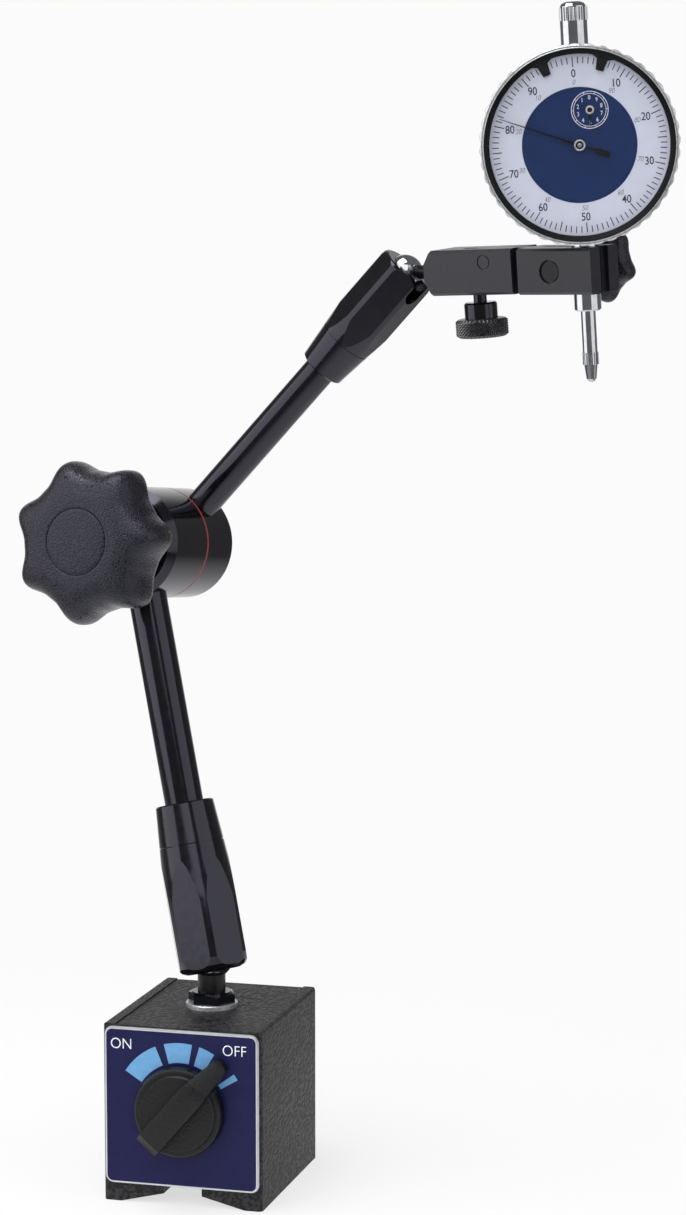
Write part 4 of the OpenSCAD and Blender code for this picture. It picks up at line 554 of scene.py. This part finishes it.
# A tick is a thin box: a rectangle across the radius, carried along it from its inner end to its outer.
division = np.arange(DIVISIONS)
tick_inner = np.select([division % 10 == 0, division % 5 == 0], [TICK_TEN, TICK_FIVE], TICK_ONE)
tick_half = np.where(division % 5 == 0, TICK_HALF_FIVE, TICK_HALF_ONE)
around_face = np.radians(ZERO - 360 / DIVISIONS * division)
along = np.stack([np.cos(around_face), np.sin(around_face), 0 * around_face], -1)[:, None, None]
across = np.stack([-np.sin(around_face), np.cos(around_face), 0 * around_face], -1)[:, None, None]
reach = np.stack([tick_inner, np.full(DIVISIONS, TICK_OUTER)], 1)[:, :, None, None]
half = tick_half[:, None, None, None] * np.array([-1, 1, 1, -1])[:, None]
rise = np.array([INK_ROOT, INK_ROOT, INK, INK])[:, None] * [0, 0, 1] + [0, 0, FACE]
make("scale_ticks", loft(along * reach + across * half + rise), dial_seat, dark_ink, "bezel", "white_dial")

NUMBER_NARROW = 0.84


def numbers(values, height, radius, start, way, thin, slant=0.0):
    """Level numbers spread evenly round a circle, the first at start degrees, anticlockwise if way is 1."""
    step = 360 / len(values)
    spots = np.radians(start + way * step * np.arange(len(values)))
    return joined(*[lettering(str(value), height, radius * math.cos(spot), radius * math.sin(spot), FACE,
                              thin, NUMBER_NARROW, slant) for value, spot in zip(values, spots)])


NUMBER_H, NUMBER_R, NUMBER_THIN = 2.35, 20.6, -0.012
REVERSE_H, REVERSE_R, REVERSE_SLANT = 1.5, 18.05, 0.25
tens = list(range(0, DIVISIONS, 10))
scale_numbers = numbers(tens, NUMBER_H, NUMBER_R, ZERO, -1, NUMBER_THIN)
make("scale_numbers", scale_numbers, dial_seat, dark_ink, "bezel", "white_dial")
reverse_numbers = numbers(tens, REVERSE_H, REVERSE_R, ZERO, 1, 0.0, REVERSE_SLANT)
make("reverse_numbers", reverse_numbers, dial_seat, grey_ink, "bezel", "white_dial")

COUNTER_X, COUNTER_Y = 3.4, 9.9
COUNTER_H, COUNTER_R = 1.2, 3.55
RING_INNER, RING_OUTER, RING_STEPS = (4.6, 4.74), (5.2, 5.38), 72
DASH, DASH_HALF = (4.7, 5.25), 0.9
counter_origin, counter_axes = dial_seat
counter_seat = counter_origin + np.array([COUNTER_X, COUNTER_Y, 0]) * MM @ counter_axes, counter_axes
counter_print = joined(
    numbers([0, 9, 8, 7, 6, 5, 4, 3, 2, 1], COUNTER_H, COUNTER_R, 90, -1, 0.0),
    arc_bar(*RING_OUTER, 0, 360, FACE, steps=RING_STEPS),
    arc_bar(*RING_INNER, 0, 360, FACE, steps=RING_STEPS),
    *[arc_bar(*DASH, angle - DASH_HALF, angle + DASH_HALF, FACE, steps=3) for angle in range(0, 360, 36)])
make("counter_print", counter_print, counter_seat, white_ink, "indicator", "blue_dial")

# Bezel: a ring turned from aluminium with a scalloped grip and a groove round its lip, that holds the
# pressed-in crystal and its black seal and carries two tolerance markers. The lip behind the crystal is
# painted black like the seal: painted shade, which darkens the ring round the scale.

BEZEL_R, SCALLOPS, SCALLOP = 29.0, 44, 0.5
CASE_GAP_R, DIAL_R, CRYSTAL_SEAT_R, SEAL_OUT_R = 26.55, 26.05, 27.37, 27.65
BEZEL_BACK, CASE_STEP, CRYSTAL_BACK, CRYSTAL_FACE, BEZEL_FRONT = 4.4, 6.8, 9.2, 10.0, 10.8
GRIP_TOP, BAND_TOP, GROOVE_LOW = BEZEL_FRONT - 1.5, BEZEL_FRONT - 0.5, BEZEL_FRONT - 1.0
LIP_R, BAND_IN_R, BAND_OUT_R = SEAL_OUT_R + 0.28, SEAL_OUT_R + 0.55, SEAL_OUT_R + 0.85

# Section of the ring from its back round grip, band, groove and lip to the crystal's seat: radius and height.
bezel_profile = np.array([
    (CASE_GAP_R, BEZEL_BACK), (BEZEL_R - 0.9, BEZEL_BACK), (BEZEL_R - 0.3, BEZEL_BACK + 0.25),
    (BEZEL_R, BEZEL_BACK + 0.9), (BEZEL_R, GRIP_TOP - 0.7), (BEZEL_R - 0.15, GRIP_TOP - 0.3),
    (BEZEL_R - 0.5, GRIP_TOP - 0.05), (BAND_OUT_R, GRIP_TOP), (BAND_OUT_R, BAND_TOP - 0.1),
    (BAND_OUT_R - 0.1, BAND_TOP), (BAND_IN_R, BAND_TOP), (BAND_IN_R, GROOVE_LOW), (LIP_R, GROOVE_LOW),
    (LIP_R, BEZEL_FRONT - 0.1), (LIP_R - 0.1, BEZEL_FRONT), (SEAL_OUT_R, BEZEL_FRONT),
    (SEAL_OUT_R, CRYSTAL_FACE), (CRYSTAL_SEAT_R, CRYSTAL_FACE), (CRYSTAL_SEAT_R, CRYSTAL_BACK),
    (DIAL_R, CRYSTAL_BACK), (DIAL_R, CASE_STEP), (CASE_GAP_R, CASE_STEP)])
# The section is carried round the axis and trimmed to the grip's edge, which a raised cosine to the power 1.5
# hollows at each scallop.
bezel_turn = np.linspace(0, 2 * np.pi, SCALLOPS * 14, endpoint=False)[:, None]
scallop_edge = BEZEL_R - SCALLOP * ((1 - np.cos(SCALLOPS * bezel_turn)) / 2) ** 1.5
bezel_r = np.minimum(bezel_profile[:, 0], scallop_edge)
bezel_z = bezel_profile[:, 1] + 0 * bezel_r
bezel_rings = np.stack([bezel_r * np.cos(bezel_turn), bezel_r * np.sin(bezel_turn), bezel_z], -1)
# Anodising over turning marks gives a pale grey with a broad, soft shine.
bezel_metal = grained("turned anodised aluminium", "#c6c7cb", "#d4d5d9", 1.5, (0.26, 0.36), 0.001,
                      sockets={"Metallic": 0.6})
bezel = make("scalloped_bezel", loft(bezel_rings, looped=True), dial_seat, bezel_metal, "bezel",
             "satin_chrome", "bezel", crease=28)

# Moulded rubber is deep black and hardly shines.
seal_rubber = grained("black moulded rubber", "#040405", "#08080a", 0.6, (0.4, 0.55), 0.004,
                      sockets={"Specular IOR Level": 0.2})
dress(seal_rubber, "seal_ring", "marker_left", "marker_right")
# The seal's black also goes on the lip's faces inside the seal and in front of the case's step, as painted
# shade round the scale.
bezel.data.materials.append(seal_rubber)
middles = np.empty(3 * len(bezel.data.polygons))
bezel.data.polygons.foreach_get("center", middles)
middles = (middles.reshape(-1, 3) - dial_seat[0]) @ dial_seat[1].T / MM
painted_lip_shade = (np.hypot(middles[:, 0], middles[:, 1]) < SEAL_OUT_R) & (middles[:, 2] > CASE_STEP)
bezel.data.polygons.foreach_set("material_index", painted_lip_shade.astype(int))

# Polished acrylic is clear with a sharp gloss. Lamp light goes straight through it, so the dial isn't shaded.
CRYSTAL_IOR, CRYSTAL_BLUR, HAZE_SPACING = 1.45, 0.02, 6
crystal = bpy.data.materials.new("clear acrylic, polished")
crystal.use_nodes = True
crystal_tree = crystal.node_tree
crystal_tree.nodes.clear()
crystal_coords = add_node(crystal_tree, "TexCoord")
haze = add_node(crystal_tree, "TexNoise", {"Scale": 1 / (HAZE_SPACING * MM)},
                {"Vector": (crystal_coords, "Object")})
crystal_gloss = add_node(crystal_tree, "MapRange", {"To Min": 0.0, "To Max": CRYSTAL_BLUR},
                         {"Value": (haze, 0)})
crystal_shader = add_node(crystal_tree, "BsdfPrincipled",
                          {"Base Color": linear("#fbfcff"), "Transmission Weight": 1.0, "IOR": CRYSTAL_IOR},
                          {"Roughness": (crystal_gloss, 0)})
crystal_pass = add_node(crystal_tree, "BsdfTransparent")
crystal_rays = add_node(crystal_tree, "LightPath")
crystal_mix = add_node(crystal_tree, "MixShader", feeds={
    0: (crystal_rays, "Is Shadow Ray"), 1: (crystal_shader, 0), 2: (crystal_pass, 0)})
add_node(crystal_tree, "OutputMaterial", feeds={"Surface": (crystal_mix, 0)})
dress(crystal, "crystal")

# Hands: thin blackened brass, each pressed on its arbor under a bright ring with a pin in its middle.
# The long hand turns once to the millimetre, and the small one counts its turns.


def hub_ring(inner, outer, level, top):
    """A small half-round ring: a half ellipse between two radii, turned about the axis."""
    bend = np.linspace(0, np.pi, 9)
    r = (inner + outer) / 2 - (outer - inner) / 2 * np.cos(bend)
    z = level + (top - level) * np.sin(bend)
    turn = np.linspace(0, 2 * np.pi, 64, endpoint=False)[:, None]
    return loft(np.stack([r * np.cos(turn), r * np.sin(turn), z + 0 * turn], -1), looped=True)


# Chemical black on brass is dull, so that the hands stand out against the white.
hand_black = grained("blackened brass", "#07080b", "#0d0e12", 0.8, (0.36, 0.48), 0.002,
                     sockets={"Specular IOR Level": 0.2})
dress(hand_black, "main_hand")

HAND_TOP, COUNTER_TOP, HAND_SINK = 8.85, 8.05, 0.02
HAND_RING, HAND_RING_T = (1.14, 1.65), 0.2
COUNTER_RING, COUNTER_RING_T = (0.7, 1.2), 0.14
hand_ring = hub_ring(*HAND_RING, HAND_TOP - HAND_SINK, HAND_TOP + HAND_RING_T)
make("hand_ring", hand_ring, dial_seat, bezel_metal, "main_hand", "bright_plate")
# Section of each pin's domed end: radius and height.
hand_dome = [(0.62, HAND_TOP - HAND_SINK), (0.6, HAND_TOP + 0.12), (0.45, HAND_TOP + 0.2),
             (0.2, HAND_TOP + 0.24)]
make("hand_pin", loft(turned(hand_dome, 32)), dial_seat, turned_steel, "main_hand", "plain_steel")
counter_dome = [(0.75, COUNTER_TOP - HAND_SINK), (0.7, COUNTER_TOP + 0.06), (0.3, COUNTER_TOP + 0.12)]
make("counter_pin", loft(turned(counter_dome, 32)), counter_seat, hand_black, "counter_wheel", "dark_hand")
counter_ring = hub_ring(*COUNTER_RING, COUNTER_TOP - HAND_SINK, COUNTER_TOP + COUNTER_RING_T)
make("counter_ring", counter_ring, counter_seat, bezel_metal, "counter_wheel", "bright_plate")

# The small hand is a tapered blade: one outline at two levels.
BLADE_T = 0.08
blade = np.array([[(-0.34, 0.7), (0.34, 0.7), (0.14, -4.25), (-0.14, -4.25)]] * 2)
blade_top = COUNTER_TOP - HAND_SINK
blade_level = np.array([blade_top - BLADE_T, blade_top])[:, None, None] + np.zeros((2, 4, 1))
counter_hand = loft(np.concatenate([blade, blade_level], -1))
make("counter_hand", counter_hand, counter_seat, hand_black, "counter_wheel", "dark_hand")

# Spindle: ground and polished stainless steel that slides in the stem, with a rack cut in it inside the case.
# The contact point screws into its end, with a knurled collar for the fingers.

dress(bright_plate, "spindle", "contact_point", crease=25)

# Stage: a pale floor that fades into a white background round the object's soft shadow. The room in front
# is dim, so polished metal shows the backdrop and the soft boxes as strips, as in a studio.

BACKDROP = "#fbfbfb"
FLOOR = 1.6
AZIMUTH = math.radians(15.249)
BEHIND = (-math.sin(AZIMUTH), math.cos(AZIMUTH), 0)
WORLD_LIGHT, ROOM = 0.5, 0.16
# A ray with fewer matt bounces than this has had none, and comes from the eye by mirrors and the crystal.
MATT_BOUNCES = 0.5
# The floor's share of backdrop white, and its shine in a mirror, from near the object to far off in metres.
SHADOW_FADE = {"From Min": 0.05, "From Max": 0.45, "To Min": 0.7, "To Max": 1.0}
SHINE_FADE = {"From Min": 0.08, "From Max": 0.7, "To Min": 1.0}
# Mirrored rays see white where they head for the backdrop, within these cosines of straight behind.
CONE = {"From Min": 0.8, "From Max": 0.97, "To Min": ROOM, "To Max": 1.0}
corners = [(-FLOOR, -FLOOR, 0), (FLOOR, -FLOOR, 0), (FLOOR, FLOOR, 0), (-FLOOR, FLOOR, 0)]
floor_mesh = bpy.data.meshes.new("floor")
floor_mesh.from_pydata(corners, [], [(0, 1, 2, 3)])
floor = bpy.data.objects.new("floor", floor_mesh)
bpy.context.scene.collection.objects.link(floor)
floor_paint = bpy.data.materials.new("pale floor")
floor_paint.use_nodes = True
floor_tree = floor_paint.node_tree
floor_tree.nodes.clear()

# Rays from the eye, a mirror or the crystal see the backdrop's white, more so away from the object's shadow.
floor_rays = add_node(floor_tree, "LightPath")
seen = add_node(floor_tree, "Math", operation="MAXIMUM", feeds={
    0: (floor_rays, "Is Camera Ray"), 1: (floor_rays, "Is Glossy Ray")})
seen = add_node(floor_tree, "Math", operation="MAXIMUM", feeds={
    0: (seen, 0), 1: (floor_rays, "Is Transmission Ray")})
straight = add_node(floor_tree, "Math", {1: MATT_BOUNCES}, {0: (floor_rays, "Diffuse Depth")},
                    operation="LESS_THAN")
seen = add_node(floor_tree, "Math", operation="MULTIPLY", feeds={0: (seen, 0), 1: (straight, 0)})
floor_coords = add_node(floor_tree, "TexCoord")
away = add_node(floor_tree, "VectorMath", feeds={0: (floor_coords, "Object")}, operation="LENGTH")
fade = add_node(floor_tree, "MapRange", SHADOW_FADE, {"Value": (away, "Value")},
                interpolation_type="SMOOTHSTEP")
share = add_node(floor_tree, "Math", operation="MULTIPLY", feeds={0: (seen, 0), 1: (fade, 0)})

# In a mirror the floor falls off to the room's dimness, except towards the backdrop.
toward = add_node(floor_tree, "VectorMath", feeds={0: (floor_coords, "Object")}, operation="NORMALIZE")
beyond = add_node(floor_tree, "VectorMath", {1: BEHIND}, {0: (toward, 0)}, operation="DOT_PRODUCT")
far = add_node(floor_tree, "MapRange", CONE, {"Value": (beyond, "Value")}, interpolation_type="SMOOTHSTEP")
shine = add_node(floor_tree, "MapRange", SHINE_FADE, {"Value": (away, "Value"), "To Max": (far, 0)},
                 interpolation_type="SMOOTHSTEP")
white = add_node(floor_tree, "MapRange", {"To Max": 1.0},
                 {"Value": (floor_rays, "Is Camera Ray"), "To Min": (shine, 0)})
matt = add_node(floor_tree, "BsdfDiffuse", {"Color": linear("#f2f2f2")})
glow = add_node(floor_tree, "Emission", {"Color": linear(BACKDROP)}, {"Strength": (white, 0)})
floor_mix = add_node(floor_tree, "MixShader", feeds={0: (share, 0), 1: (matt, 0), 2: (glow, 0)})
add_node(floor_tree, "OutputMaterial", feeds={"Surface": (floor_mix, 0)})
floor_mesh.materials.append(floor_paint)

# The world is white to the eye, the room to mirrored rays, and a plain soft light to all others.
world = bpy.data.worlds.new("studio")
world.use_nodes = True
world_tree = world.node_tree
world_tree.nodes.clear()
sky_rays = add_node(world_tree, "LightPath")
mirrored = add_node(world_tree, "Math", operation="MAXIMUM", feeds={
    0: (sky_rays, "Is Glossy Ray"), 1: (sky_rays, "Is Transmission Ray")})
unlit = add_node(world_tree, "Math", {1: MATT_BOUNCES}, {0: (sky_rays, "Diffuse Depth")},
                 operation="LESS_THAN")
mirrored = add_node(world_tree, "Math", operation="MULTIPLY", feeds={0: (mirrored, 0), 1: (unlit, 0)})
sky_coords = add_node(world_tree, "TexCoord")
behind = add_node(world_tree, "VectorMath", {1: BEHIND}, {0: (sky_coords, "Generated")},
                  operation="DOT_PRODUCT")
room = add_node(world_tree, "MapRange", CONE, {"Value": (behind, "Value")}, interpolation_type="SMOOTHSTEP")
lit = add_node(world_tree, "MapRange", {"To Min": WORLD_LIGHT}, {"Value": (mirrored, 0), "To Max": (room, 0)})
level = add_node(world_tree, "MapRange", {"To Max": 1.0},
                 {"Value": (sky_rays, "Is Camera Ray"), "To Min": (lit, 0)})
sky = add_node(world_tree, "Background", {"Color": linear(BACKDROP)}, {"Strength": (level, 0)})
add_node(world_tree, "OutputWorld", feeds={"Surface": (sky, 0)})
bpy.context.scene.world = world

MIDDLE = Vector((0.03, 0, 0.18))


def soft_box(name, spot, width, height, power):
    """A rectangular area lamp at spot, turned to face the object's middle, in metres and watts."""
    lamp = bpy.data.lights.new(name, "AREA")
    lamp.shape = "RECTANGLE"
    lamp.size, lamp.size_y = width, height
    lamp.energy = power
    box = bpy.data.objects.new(name, lamp)
    box.location = spot
    box.rotation_euler = (MIDDLE - Vector(spot)).to_track_quat("-Z", "Y").to_euler()
    box.visible_camera = False
    bpy.context.scene.collection.objects.link(box)


soft_box("box_top", (-0.3, -0.3, 1.6), 1.0, 1.0, 14)
soft_box("box_left", (-0.86, -0.5, 0.38), 1.12, 1.12, 5.4)
soft_box("box_right", (0.94, -0.28, 0.38), 1.0, 1.12, 3.1)
soft_box("box_front", (0.0, -1.9, 1.6), 2.6, 1.7, 18)

# Camera: the photograph's place and angle, worked out from the block's corners.
# A long lens, with no shift and no depth of field.

CAMERA_SPOT = (0.30075, -0.949349, 0.301413)
PITCH = math.radians(7.055)
FOCAL_PIXELS, LONG_SIDE, SENSOR = 3300, 1215, 36.0
camera_data = bpy.data.cameras.new("camera")
camera_data.sensor_width = SENSOR
camera_data.lens = SENSOR * FOCAL_PIXELS / LONG_SIDE
camera = bpy.data.objects.new("camera", camera_data)
ahead = Vector((-math.sin(AZIMUTH) * math.cos(PITCH), math.cos(AZIMUTH) * math.cos(PITCH), -math.sin(PITCH)))
camera.location = CAMERA_SPOT
camera.rotation_euler = ahead.to_track_quat("-Z", "Y").to_euler()
bpy.context.scene.collection.objects.link(camera)
bpy.context.scene.camera = camera
bpy.context.scene.view_settings.view_transform = "Standard"
